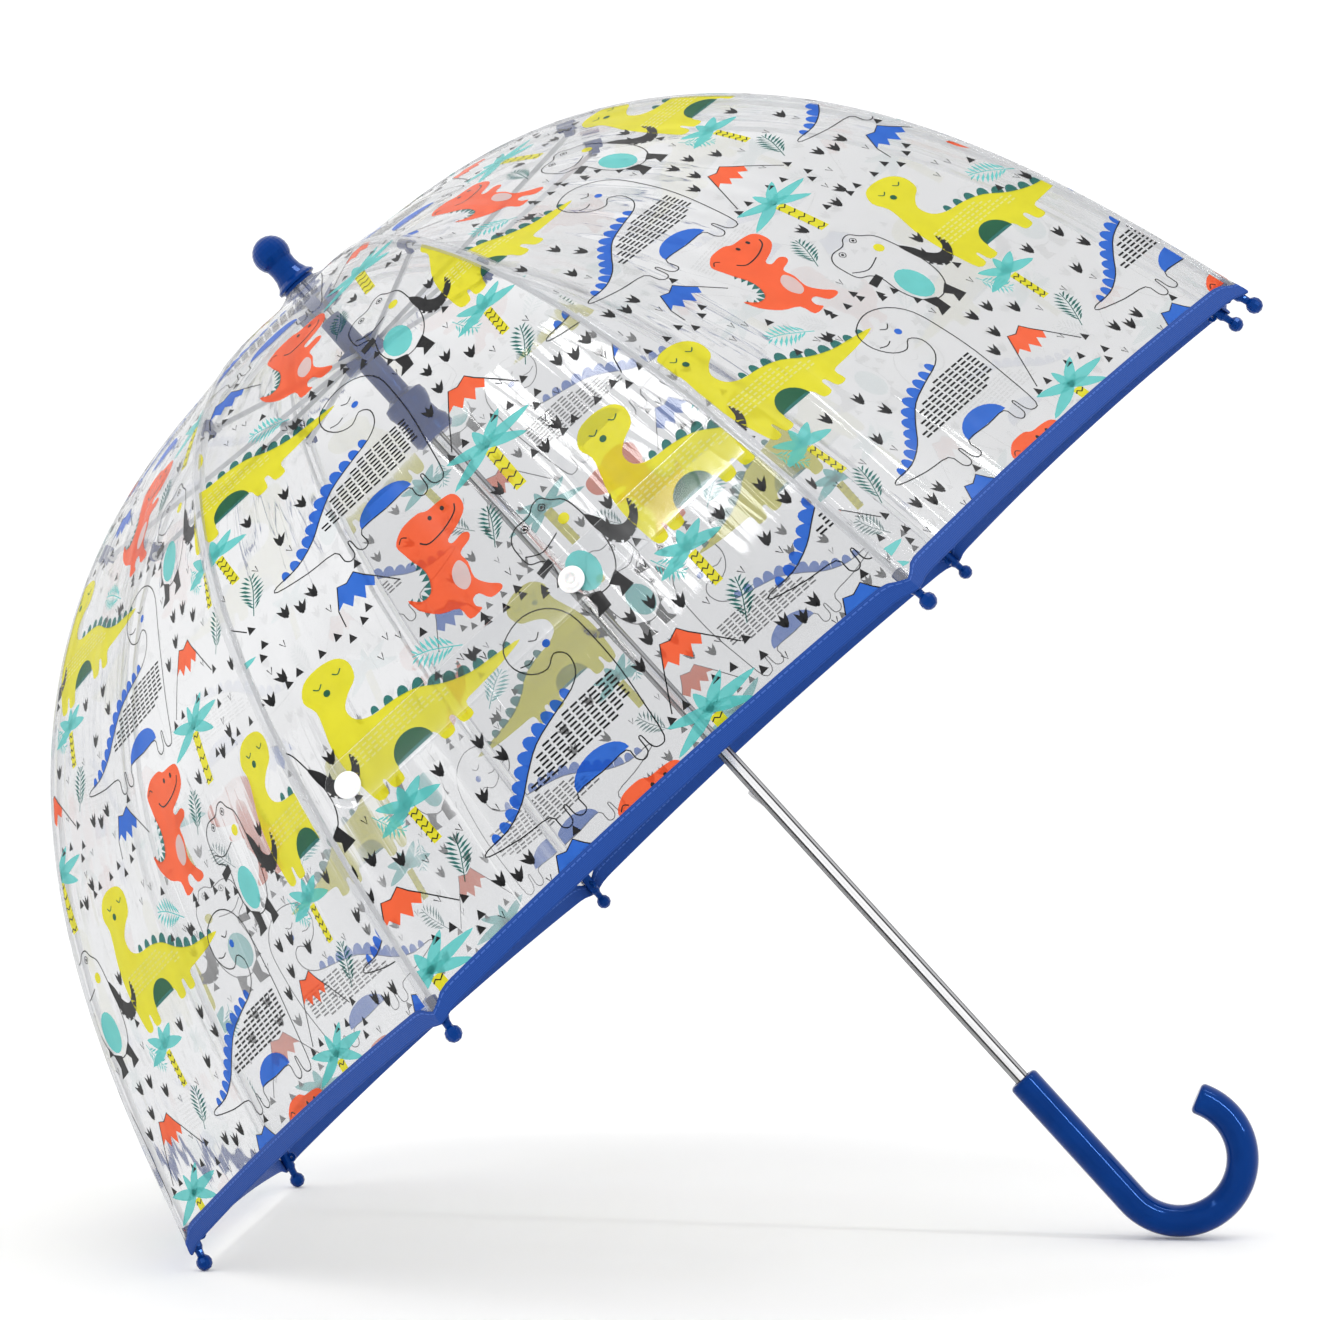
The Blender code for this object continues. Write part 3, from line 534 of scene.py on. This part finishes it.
def outlined_long_neck(pen):
    pen.line("black", [(-4, 258), (-11, 255), (-15.5, 247), (-14.5, 238), (-8, 233), (2, 231.5), (12, 236),
                       (18.5, 246), (20, 262), (20, 280), (18, 300), (15.5, 318), (11, 320), (8.5, 317),
                       (8, 311), (6.5, 311), (6, 318), (2.5, 320), (0, 317), (-1, 311), (-14, 311),
                       (-29, 310.5), (-30, 318), (-33, 319.5), (-35.5, 317), (-36, 311), (-37.5, 311),
                       (-38, 318), (-41, 319.5), (-43.5, 317), (-45, 310), (-60, 308), (-76, 304),
                       (-75, 301.5), (-62, 301), (-50, 296), (-40, 288), (-29, 280.5), (-15, 276),
                       (-2, 272.5), (5, 267), (6.5, 259), (2, 254.5)], 0.62, 2, True, 3)
    pen.plates("blue", [(-2, 272), (-15, 275.7), (-29, 280), (-40, 287.5), (-50, 295.5), (-62, 300.5),
                        (-72, 301.5)], 12, 7.4, 6.4)
    pen.dashes("black", [(-46, 297), (-30, 284), (-12, 278.5), (4, 276.5), (15, 277), (15, 293),
                         (6, 297.5)], 5.0, 2.2, 3.9, 1.05)
    pen.disc("blue", -14, 310.6, 15, 10, 2, 180, 360, 14)
    pen.line("black", [(-3, 242), (0, 244), (3, 242)], 0.6, 2, steps=3)
    pen.line("black", [(-13, 249), (-9, 250.5), (-5.5, 249.5)], 0.6, 2, steps=3)
    pen.disc("blue", 2.5, 248.5, 1.9)


def red_rex(pen):
    pen.blob("red", [(-21, 337), (-21.5, 330.5), (-17, 326.5), (-12.5, 325), (-5, 325.2), (-1, 327.5),
                     (6, 328), (12, 329.5), (14, 334), (12.5, 340), (6, 344), (-1.5, 346.5), (-1, 349.5),
                     (5, 349), (7.5, 351.3), (5.5, 354), (-1, 356), (-1, 362), (-3, 370), (0, 376.5),
                     (4, 381), (3, 383.5), (-3, 383), (-6, 377.5), (-9.5, 377.5), (-10.5, 381), (-9, 384),
                     (-16, 384), (-17, 376.5), (-25, 372), (-31, 364), (-32.5, 356), (-28, 361),
                     (-22.5, 361), (-19, 355), (-18.5, 349), (-20, 343)], 1, 3)
    pen.plates("green", [(-20, 341), (-18.5, 350), (-21, 359.5), (-28, 361.5), (-33, 356.5)], 9, 4.2, 3.6,
               True)
    pen.blob("grey", [(-4, 358), (-2.5, 363), (-5, 370), (-9.5, 371.5), (-11.5, 366), (-9, 360)], 2)
    pen.line("black", [(-12.5, 338), (-9, 341.5), (0, 341), (8, 338), (10.5, 334.5)], 0.75, 2)
    for x, y in ((-2, 331.5), (5, 332)):
        pen.disc("black", x, y, 1.0, 1.3, 2, count=10)
    pen.line("black", [(-20, 331), (-17.5, 329.2), (-15.5, 331)], 0.55, 2, steps=3)


def outlined_rex(pen):
    pen.line("black", [(18, 377), (19, 370), (24, 366), (32, 366), (36.5, 363), (41, 363), (44, 367),
                       (49, 372), (51, 382), (52, 396), (50, 408), (44, 416), (35, 417.5), (28, 412),
                       (25.5, 402), (26.5, 392), (24, 387), (19, 384)], 0.62, 2, True)
    pen.disc("teal", 35.5, 404, 7.6, 10.5, 1)
    pen.blob("black", [(51, 384), (55, 389), (57.5, 396), (62, 400), (67, 398), (70, 392), (71, 398),
                       (67, 404), (60, 407), (54, 403), (51.5, 395)])
    pen.plates("black", [(51.5, 400), (58, 407), (67, 404), (71, 396)][::-1], 7, 4.0, 3.4, True)
    pen.put("black", [(29, 413), (35.5, 416.5), (35, 425), (27, 425.5), (30, 421)])
    pen.put("black", [(40, 417), (46, 413.5), (48.5, 424.5), (41, 425.5), (43, 421)])
    pen.put("black", [(19, 389.5), (27, 388), (27.5, 392), (19.5, 394)])
    pen.disc("yellow", 43.5, 378.5, 2.7)
    for x, y in ((27, 369.5), (39, 367)):
        pen.line("black", [(x - 1.8, y), (x, y - 1.8), (x + 1.8, y), (x, y + 1.8)], 0.45, 2, True, 3)
        pen.disc("black", x, y, 0.8, count=10)
    pen.line("black", [(19.5, 380), (27, 384), (37, 381.5)], 0.6, 2)


def palm(pen, tips, height, width):
    """Leaves out to each tip from the top of a banded trunk."""
    for x, y in tips:
        reach = math.hypot(x, y)
        c, s = x / reach, y / reach
        leaf = smooth_line([(-1, -1.5), (reach * 0.4, -3.0), (reach, 0.4), (reach * 0.45, 2.6), (-1, 1.5)],
                           True, 3)
        pen.put("teal", [(u * c - v * s, u * s + v * c) for u, v in leaf])
    half = width / 2
    pen.put("yellow", [(-half, 3), (half, 3), (half + 0.5, height), (-half + 0.5, height)], 0)
    for i in range(5):
        y = 5.5 + (height - 7) * i / 4
        pen.line("black", [(-half, y), (-half * 0.4, y - 1.1), (half * 0.2, y + 0.6), (half, y - 0.8)], 0.7,
                 2, steps=1)


def mountain(pen, colour, left, right):
    """Outlined slopes down to left and right, with a coloured cap."""
    pen.line("black", [left, (-11.5, 4.5), (-5.5, -6), (-1, -4.2), (4.5, -6.5), (7.5, -1.5), (11, 3),
                       right], 0.6, 2, steps=1)
    pen.put(colour, [(-11.5, 4.5), (-5.5, -6), (-1, -4.2), (4.5, -6.5), (7.5, -1.5), (11, 3), (8.5, 7),
                     (5, 3.5), (2, 9), (-1.5, 3.5), (-5, 7.5), (-7.5, 2.5)])


def fern(pen, colour, count=8):
    """A stem with pairs of leaflets."""
    pen.line(colour, [(0, -12), (0.8, -4), (0, 4), (-1.2, 12)], 0.55, 1)
    for i in range(count):
        y = 8 - i * 19 / count
        reach = 6.5 * math.sin(math.pi * (i + 1.4) / (count + 1.6)) + 1.0
        for side in (-1, 1):
            pen.put(colour, [(0.2 * side, y), (side * reach * 0.5, y - 1.2), (side * reach, y - 3.8),
                             (side * reach * 0.5, y - 2.9)])


TOES = (-30, 0, 30)
WIDE_PALM = [(-24, 8), (-20, -6), (-2, -10.5), (14, -11), (26, -1), (18, 9)]
SMALL_PALM = [(-18, 4), (-13, -8), (1, -9.5), (12, -7), (17, 3)]


def draw_tile():
    """One repeat of the design."""
    pen = Pen()
    yellow_long_neck(pen)
    outlined_long_neck(pen)
    red_rex(pen)
    outlined_rex(pen)
    palm(Pen(38, 323), WIDE_PALM, 29, 6.0)
    palm(Pen(-89, 260), SMALL_PALM, 22, 4.6)
    mountain(Pen(45, 291), "red", (-21, 22), (22, 18))
    mountain(Pen(-48, 331), "blue", (-13, 13), (19, 14))
    fern(Pen(-86, 295, 22, 0.9), "green")
    fern(Pen(17, 357, 22, 0.85), "green")
    fern(Pen(-36, 384, -62), "teal")
    fern(Pen(64, 430, 150, 0.75), "teal", 7)
    for x, y, a in ((-69, 258, 0), (-48, 261, 12), (-43, 273, -12), (-79, 315, 0), (-72, 319, 14),
                    (-63, 317, -10), (37, 279, 5), (48, 267, 12), (38, 266, -8), (27, 286, 0),
                    (30, 345, -15), (57, 345, 8), (-62, 281, 20), (-97, 340, -10), (58, 276, 10),
                    (55, 226, 0), (62, 218, 10), (-26, 397, 8)):
        for toe in TOES:
            Pen(x, y + 2.6, a + toe).put("black", [(0, 1.3), (-1.3, -0.6), (-0.9, -3.4), (0, -6.4),
                                                   (0.9, -3.4), (1.3, -0.6)], 1 + abs(toe) // 30)
    for x, y in ((-11, 218), (-1, 222), (8, 219), (17, 228), (-23, 228), (22, 314.5), (31, 313.5),
                 (48, 313.5), (57, 315), (52, 343), (-77, 345), (-67, 344), (-53, 347), (-48, 343.5),
                 (68, 345), (-11, 390), (8, 392), (16, 399), (-43, 393), (-62, 350), (70, 320), (-90, 344),
                 (-99, 325), (-96, 309), (27, 242), (24, 231), (61, 241), (22, 222), (-36, 372),
                 (-40, 322)):
        Pen(x, y, (x * 7) % 25 - 12).put("black", [(-2.2, 2), (2.2, 2), (0, -2.3)])
    for x, y in ((-78, 285), (67, 285), (65, 334), (-50, 362), (-62, 331), (-57, 368), (10, 380),
                 (-22, 402), (60, 302), (-60, 290), (26, 252), (57, 252), (-88, 328), (-30, 226),
                 (-45, 366)):
        Pen(x, y, (x * 5) % 30 - 15).line("black", [(-1.3, -1.8), (0, 1.6), (1.3, -1.8)], 0.5, 2, steps=1)


def base_print():
    """The design over more than a panel, as flat faces cut small, with an ink and a layer for each."""
    draw_tile()
    work = bmesh.new()
    layer = work.faces.layers.int.new("layer")
    for dx in (-2, -1, 0, 1, 2):
        for dy in (-2, -1, 0, 1):
            for colour, height, points in shapes:
                p = points + (dx * REPEAT_X, dy * REPEAT_Y)
                left, top = p.min(axis=0)
                right, bottom = p.max(axis=0)
                if right < -PRINT_SIDE - 10 or left > PRINT_SIDE + 10 or bottom < 20 or top > PRINT_END:
                    continue
                face = work.faces.new([work.verts.new((x, y, 0)) for x, y in p])
                face.material_index = INK_ORDER.index(colour)
                face[layer] = height
    work.normal_update()
    bmesh.ops.triangulate(work, faces=work.faces[:])
    for axis, low, high in ((0, -PRINT_SIDE, PRINT_SIDE + 1), (1, PRINT_TOP, PRINT_END)):
        for cut in np.arange(low, high, CUT_PITCH):
            normal, spot = [0, 0, 0], [0, 0, 0]
            normal[axis], spot[axis] = 1, float(cut)
            cut_all(work, spot, normal, False)
    mesh = bpy.data.meshes.new("print_base")
    work.to_mesh(mesh)
    work.free()
    return mesh


def cut_all(work, spot, normal, clear):
    """Cuts the whole mesh at a plane; clear takes away what lies beyond it."""
    bmesh.ops.bisect_plane(work, geom=work.verts[:] + work.edges[:] + work.faces[:], dist=0.0005,
                           plane_co=spot, plane_no=normal, clear_outer=clear)


def print_panels(design, shift):
    """Per side of a panel: points (arc, share, lift) and faces with their ink."""
    work = bmesh.new()
    work.from_mesh(design)
    layer = work.faces.layers.int["layer"]
    for v in work.verts:
        v.co.x = (v.co.x + shift) / 10 / float(half_width(v.co.y / 1000))
    cut_all(work, (0, (HEM - PRINT_MARGIN) * 1000, 0), (0, 1, 0), True)
    cut_all(work, (0, PRINT_TOP, 0), (0, -1, 0), True)
    cut_all(work, (EDGE_SHARE, 0, 0), (1, 0, 0), True)
    cut_all(work, (-EDGE_SHARE, 0, 0), (-1, 0, 0), True)
    cut_all(work, (0, 0, 0), (1, 0, 0), False)
    work.verts.index_update()
    found = {}
    for side in (-1, 1):
        index, points, faces, inks = {}, [], [], []
        for f in work.faces:
            if f.calc_center_median().x * side < 0:
                continue
            face = []
            for v in f.verts:
                if v.index not in index:
                    index[v.index] = len(points)
                    points.append((v.co.y / 1000, 1 - abs(v.co.x) / 100, INK_LIFT + LAYER_LIFT * f[layer]))
                face.append(index[v.index])
            faces.append(face)
            inks.append(f.material_index)
        found[side] = (np.array(points), faces, inks)
    work.free()
    return found


# ---- canopy -------------------------------------------------------------------------------------
FILM_EDGE = HEM - 0.0008    # where the film ends inside the hem tape
FILM_ROWS = 64


def film_half(k, side):
    """The clear film of a half panel, one smooth sheet from its rib to the panel's middle."""
    rows, columns = FILM_ROWS, 11
    s = np.linspace(SECTOR_END, FILM_EDGE, rows)
    share = np.linspace(0, 1, columns)
    S, H = np.meshgrid(s, share, indexing="ij")
    points = film(S, H, side).reshape(-1, 3)
    uv = np.stack([(1 - H) * side + 2 * k, S * 4], -1).reshape(-1, 2)
    obj = new_object(half_name("film", k, side), world(rib_frame(k), points),
                     grid_faces(rows, columns, side < 0), FILM, uv)
    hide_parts(half_name("canopy_panel", k, side))
    return fold_with_panel(obj)


def seam_half(k, side):
    """Half of the welded seam over a rib, a raised strip with a beaded edge."""
    rows = FILM_ROWS
    s = np.linspace(SECTOR_END + 0.004, HEM - 0.002, rows)
    across = np.array([0.0, 0.0012, 0.0024, 0.0032, 0.0036])
    lift = np.array([0.00045, 0.0005, 0.0005, 0.00055, 0.00012])
    width = half_width(s)
    points, uv = [], []
    for i in range(rows):
        w = np.minimum(across / width[i], 0.3)
        points.append(np.stack([film(s[i], w[j], side, lift[j]) for j in range(5)]))
        uv.append([(a * 60 * side + 2 * k, s[i] * 12) for a in across])
    obj = new_object(half_name("seam", k, side), world(rib_frame(k), np.concatenate(points)),
                     grid_faces(rows, 5, side < 0), SEAM, np.concatenate(uv))
    return fold_with_panel(obj)


def tape_half(k, side):
    """Hem tape folded over the film's edge; it narrows and gathers where it meets the rib's tip."""
    columns = 37
    share = np.linspace(0, 1, columns)
    width = float(half_width(HEM))
    profile = [(-9.6, 0.10), (-9.5, 0.42), (-7.6, 0.58), (-7.2, 0.50), (-4.0, 0.60), (-0.8, 0.58),
               (0.2, 0.35), (0.45, 0.0), (0.2, -0.35), (-0.8, -0.52), (-4.0, -0.50), (-7.2, -0.42),
               (-9.4, -0.40), (-9.6, -0.10)]
    points, uv = [], []
    for back, out in profile:
        row = []
        for h in share:
            near = math.exp(-(h * width / 0.006) ** 2)
            pinch = 1 - 0.32 * near
            ripple = 0.00018 * math.sin(h * width / 0.0011) * math.exp(-h * width / 0.012)
            s = HEM + back / 1000 * pinch + 0.0022 * near
            row.append(film(s, h, side, out / 1000 * (1 + 0.5 * near) + ripple))
        points.append(np.array(row))
    along = share * width * 1000
    arc = 0.0
    for i, (back, out) in enumerate(profile):
        if i:
            arc += math.hypot(back - profile[i - 1][0], out - profile[i - 1][1])
        uv.append(np.stack([along, np.full(columns, 9.6 - arc if arc < 9.9 else arc - 10.4)], -1))
    obj = new_object(half_name("hem_tape", k, side), world(rib_frame(k), np.concatenate(points)),
                     grid_faces(len(profile), columns, side > 0), TAPE, np.concatenate(uv))
    return fold_with_panel(obj)


def print_half(k, side, data):
    """The print of a half panel, just outside its film."""
    points, faces, inks = data
    at = film(points[:, 0], points[:, 1], side, 0.0)
    lifted = film(points[:, 0], points[:, 1], side, 0.001)
    at = at + (lifted - at) * (points[:, 2:3] * 1000)
    uv = np.stack([(1 - points[:, 1]) * side + 2 * k, points[:, 0] * 4], -1)
    obj = new_object(half_name("print", k, side), world(rib_frame(k), at), faces,
                     [INKS[n] for n in INK_ORDER], uv, inks)
    return fold_with_panel(obj)


def apex_sector(k):
    """Film round the crown over one rib, overlapping its neighbours under the knob's skirt."""
    rows, columns = 10, 13
    s = np.linspace(-0.0012, SECTOR_END, rows)
    points, uv = [], []
    for i in range(rows):
        r, z = meridian(max(s[i], 0))
        r = float(r) + min(s[i], 0)
        for j in range(columns):
            a = (j / (columns - 1) * 2 - 1) * HALF * 1.12
            bend = math.cos(HALF) / math.cos(HALF - min(abs(a), HALF))
            points.append((r * math.cos(a) * bend, r * math.sin(a) * bend, float(z) + 0.00003 * (k % 2)))
            uv.append((a / HALF + 2 * k, s[i] * 4))
    obj = new_object(f"film_apex_{k}", world(rib_frame(k), points), grid_faces(rows, columns), FILM, uv)
    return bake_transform(obj)


# Each panel was cut from the printed roll at another place.
SHIFTS = {1: 24, 2: -31, 3: 52, 4: 9, 5: 18, 6: 0, 7: -20, 8: 40}
DESIGN = base_print()
for number in range(1, RIBS + 1):
    # the panel between two ribs: its first half lies beside this rib, its second beside the next
    halves = print_panels(DESIGN, SHIFTS[number])
    print_half(number, 1, halves[-1])
    following = number % RIBS + 1
    print_half(following, -1, halves[1])

for number in range(1, RIBS + 1):
    for way in (-1, 1):
        film_half(number, way)
        seam_half(number, way)
        tape_half(number, way)
    apex_sector(number)

# ---- strap --------------------------------------------------------------------------------------
STRAP_RIB = 7
STRAP_LIE = 0.0012          # the strap's middle above the film
WELD_END = 0.0035           # from the rib to the start of the welded part
SWING_GAP, FREE_GAP = 0.0005, 0.00015   # from the strap's bend to its welded and its loose part
FREE_SHARE = 0.913          # the loose part's length, of the half panel's width there
SOCKET_PLACE, CAP_INSET = -0.029, 0.0105
SNAP_SIZE, SNAP_SEAT = 1.15, 0.0006


def strap_frame():
    """On the panel's middle line: x to the strap's free end, y to the hem, z outwards."""
    here = Vector(film(STRAP_ARC, 1.0, -1))
    along = (Vector(film(STRAP_ARC + 0.002, 1.0, -1)) - here).normalized()
    to_free = Vector((-math.sin(HALF), -math.cos(HALF), 0))
    turn = Matrix((to_free, along, to_free.cross(along).normalized())).transposed().to_4x4()
    return rib_frame(STRAP_RIB) @ Matrix.Translation(here) @ turn @ Matrix.Translation((0, 0, STRAP_LIE))


def strap_strip(name, start, end, round_end):
    """Clear strip with a raised welded bead along both sides and round the free end."""
    half, count = STRAP_WIDTH / 2, 40
    edge = [(-1.0, -0.2), (-1.0, 0.3), (-0.96, 0.42), (-0.90, 0.42), (-0.875, 0.22), (0.875, 0.22),
            (0.90, 0.42), (0.96, 0.42), (1.0, 0.3), (1.0, -0.2)]
    line = np.linspace(start, end - (half if round_end else 0), count)
    narrow = np.ones(count)
    if round_end:
        a = np.radians(np.linspace(8, 88, 9))
        line, narrow = np.append(line, end - half + half * np.sin(a)), np.append(narrow, np.cos(a))
    points, uv = [], []
    for x, k in zip(line, narrow):
        wave = 0.00012 * math.sin(x * 75)
        for side, z in edge:
            points.append((x, side * half * k, z / 1000 + wave))
            uv.append((x * 5, side * k * 0.25))
    obj = new_object("clear_" + name, world(strap_frame(), points), grid_faces(len(line), len(edge), True),
                     STRAP, uv)
    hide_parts(name)
    return obj


def snap(name, x, profile, look_at_node):
    """Moulded snap turned about the strap's thickness."""
    count, points, faces = 48, [], []
    for r, z in profile:
        r *= SNAP_SIZE
        points += [(x + r * math.cos(a) / 1000, r * math.sin(a) / 1000, z / 1000 + SNAP_SEAT)
                   for a in np.linspace(0, 2 * math.pi, count, endpoint=False)]
    for i in range(len(profile) - 1):
        for j in range(count):
            a, b = i * count + j, i * count + (j + 1) % count
            faces.append((b, a, a + count, b + count))
    obj = new_object(name, world(strap_frame(), points), faces, SNAP)
    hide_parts(look_at_node)
    return obj


reach = float(half_width(STRAP_ARC))
strap_radius = np.interp(STRAP_ARC, ARC, RADII) + FILM_OFFSET * math.sin(slope(STRAP_ARC))
free_length = FREE_SHARE * strap_radius * math.sin(HALF)
welded = strap_strip("strap_base", WELD_END - reach, -SWING_GAP, False)
loose = strap_strip("closure_strap", FREE_GAP, free_length, True)
SOCKET = [(5.2, -0.2), (5.3, 0.5), (4.9, 0.8), (3.9, 0.85), (3.75, 1.9), (3.4, 2.2), (2.6, 2.2), (2.3, 1.9),
          (2.2, 0.7), (1.5, 0.6), (1.4, 1.0), (0.05, 1.1)]
CAP = [(5.3, -0.2), (5.4, 0.3), (5.35, 0.8), (4.9, 1.15), (4.3, 1.25), (4.1, 1.6), (3.6, 2.0), (2.6, 2.15),
       (2.3, 2.05), (2.0, 2.0), (0.05, 1.95)]
socket = snap("snap_socket", SOCKET_PLACE, SOCKET, "canopy_snap")
cap = snap("snap_cap", free_length - CAP_INSET, CAP, "strap_snap")
for part in (welded, socket):
    fold_with_panel(part)
for part in (loose, cap):
    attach(part, "strap")

# ---- handle -------------------------------------------------------------------------------------
def handle_line(s):
    """Centre and heading of the grip and the crook, at a distance from the grip's top, y = 0."""
    if s <= GRIP_LENGTH:
        return Vector((0, 0, HANDLE_TOP - s)), Vector((0, 0, -1))
    angle = math.pi + min((s - GRIP_LENGTH) / CROOK_RADIUS, CROOK_SWEEP)
    heading = Vector((-math.sin(angle), 0, math.cos(angle)))
    spot = Vector((CROOK_RADIUS * (1 + math.cos(angle)), 0,
                   HANDLE_TOP - GRIP_LENGTH + CROOK_RADIUS * math.sin(angle)))
    return spot + heading * max(s - GRIP_LENGTH - CROOK_RADIUS * CROOK_SWEEP, 0), heading


def crook_handle():
    """One moulding: a bore for the shaft in a rounded rim, the grip, the crook, and a rounded end."""
    total = GRIP_LENGTH + CROOK_RADIUS * CROOK_SWEEP + CROOK_TAIL
    quarter = np.radians(np.linspace(0, 90, 7))
    inner, flat = SHAFT_BORE + 0.0006, HANDLE_RADIUS - HANDLE_EDGE
    rings = [(0.006, SHAFT_BORE), (0.0008, SHAFT_BORE), (0.0002, inner), (0, inner + 0.0004)]
    rings += [(HANDLE_EDGE * (1 - math.cos(q)), flat + HANDLE_EDGE * math.sin(q)) for q in quarter]
    rings += [(s, HANDLE_RADIUS) for s in np.linspace(0.01, GRIP_LENGTH, 12)]
    rings += [(s, HANDLE_RADIUS) for s in np.linspace(GRIP_LENGTH, total - 2 * HANDLE_EDGE, 72)[1:]]
    rings += [(total - HANDLE_EDGE * (1 - math.sin(q)), flat + HANDLE_EDGE * math.cos(q)) for q in quarter]
    rings += [(total + 0.0001, flat * 0.55), (total + 0.00015, 0.0001)]
    around = np.linspace(0, 2 * math.pi, 49)[:-1]
    points, faces = [], []
    for s, radius in rings:
        spot, heading = handle_line(s)
        out = Vector((heading.z, 0, -heading.x))
        points += [spot + radius * (math.cos(a) * out + math.sin(a) * Vector((0, 1, 0))) for a in around]
    count = len(around)
    for i in range(len(rings) - 1):
        for j in range(count):
            a, b = i * count + j, i * count + (j + 1) % count
            faces.append((a, b, b + count, a + count))
    obj = new_object("crook_handle", world(SHAFT, points), faces, BLUE)
    obj.data.set_sharp_from_angle(angle=math.radians(40))
    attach(obj, "stick")
    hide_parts("handle")


crook_handle()

# ---- materials of the model's own pieces ---------------------------------------------------------
LOOKS = {"handle": BLUE, "top_knob": BLUE, "crown": BLUE, "runner": BLUE, "shaft": CHROME,
         "crown_wire": STEEL, "strap_base": STRAP, "closure_strap": STRAP, "strap_snap": SNAP,
         "canopy_snap": SNAP}
for name, item in NODES.items():
    look = LOOKS.get(name)
    if look is None:
        if name.startswith("rib_tip") or name.startswith("rib_clip"):
            look = BLUE
        elif name.startswith("stretcher"):
            look = STEEL
        elif "spring_catch" in name:
            look = SPRING
        elif name.startswith("rib_"):
            look = WIRE
        else:
            look = FILM
    item.data.materials.clear()
    item.data.materials.append(look)
    item.data.polygons.foreach_set("material_index", np.zeros(len(item.data.polygons), np.int32))


# ---- studio -------------------------------------------------------------------------------------
LAMPS = (("key", (-1.5, -1.6, 1.9), (0.14, 2.0), 11), ("top", (0.5, -0.3, 2.3), (0.12, 2.2), 11),
         ("side", (1.44, -1.41, 1.2), (0.08, 1.7), 26))


def studio():
    """Pale floor, even white light, and lamps that draw long highlights."""
    m, t, p, _ = nodes_of("studio_floor")
    t.links.new(ramp(t, noise(t, coords(t, (1, 1, 1)), 3, 2), (0.925, 0.925, 0.925), (0.935, 0.935, 0.935)),
                p.inputs["Base Color"])
    p.inputs["Roughness"].default_value = 0.9
    p.inputs["Specular IOR Level"].default_value = 0.1
    floor = new_object("studio_floor", [(-40, -12, 0), (40, -12, 0), (40, 60, 0), (-40, 60, 0)],
                       [(0, 1, 2, 3)], m)
    scene = bpy.context.scene
    sky = bpy.data.worlds.new("studio")
    scene.world = sky
    sky.use_nodes = True
    back = sky.node_tree.nodes["Background"]
    back.inputs["Color"].default_value = (1, 1, 1, 1)
    back.inputs["Strength"].default_value = 1.12
    # long strips parallel to the shaft, so that their mirror lines run along it and along the ribs
    along = SHAFT.to_3x3() @ Vector((0, 0, 1))
    for name, place, size, power in LAMPS:
        lamp = bpy.data.lights.new(name, "AREA")
        lamp.shape = "RECTANGLE"
        lamp.size, lamp.size_y = size
        lamp.energy = power
        holder = bpy.data.objects.new(name, lamp)
        scene.collection.objects.link(holder)
        back_to = (Vector(place) - Vector((0, 0, 0.3))).normalized()
        across = along.cross(back_to).normalized()
        turn = Matrix((across, back_to.cross(across), back_to)).transposed()
        holder.matrix_world = Matrix.Translation(place) @ turn.to_4x4()
        holder.visible_diffuse = name != "side"
    scene.view_settings.view_transform = "Standard"
    scene.cycles.transparent_max_bounces = 48
    scene.cycles.max_bounces = 12
    scene.cycles.use_denoising = True


def camera():
    """134 mm lens, 2.4 m away, a little above and to the handle's side."""
    origin = SHAFT.translation
    side, pitch, distance = math.radians(4.91), math.radians(2.09), 2.429
    flat = Vector((-math.sin(side), math.cos(side), 0))
    ahead = math.cos(pitch) * flat + Vector((0, 0, -math.sin(pitch)))
    target = Vector((origin.x - 0.0412, origin.y, origin.z + 0.0555))
    lens = bpy.data.cameras.new("camera")
    lens.lens = 134.0
    lens.sensor_width = 36.0
    lens.clip_start, lens.clip_end = 0.05, 100
    held = bpy.data.objects.new("camera", lens)
    bpy.context.scene.collection.objects.link(held)
    held.location = target - distance * ahead
    held.rotation_euler = ahead.to_track_quat("-Z", "Y").to_euler()
    bpy.context.scene.camera = held


studio()
camera()
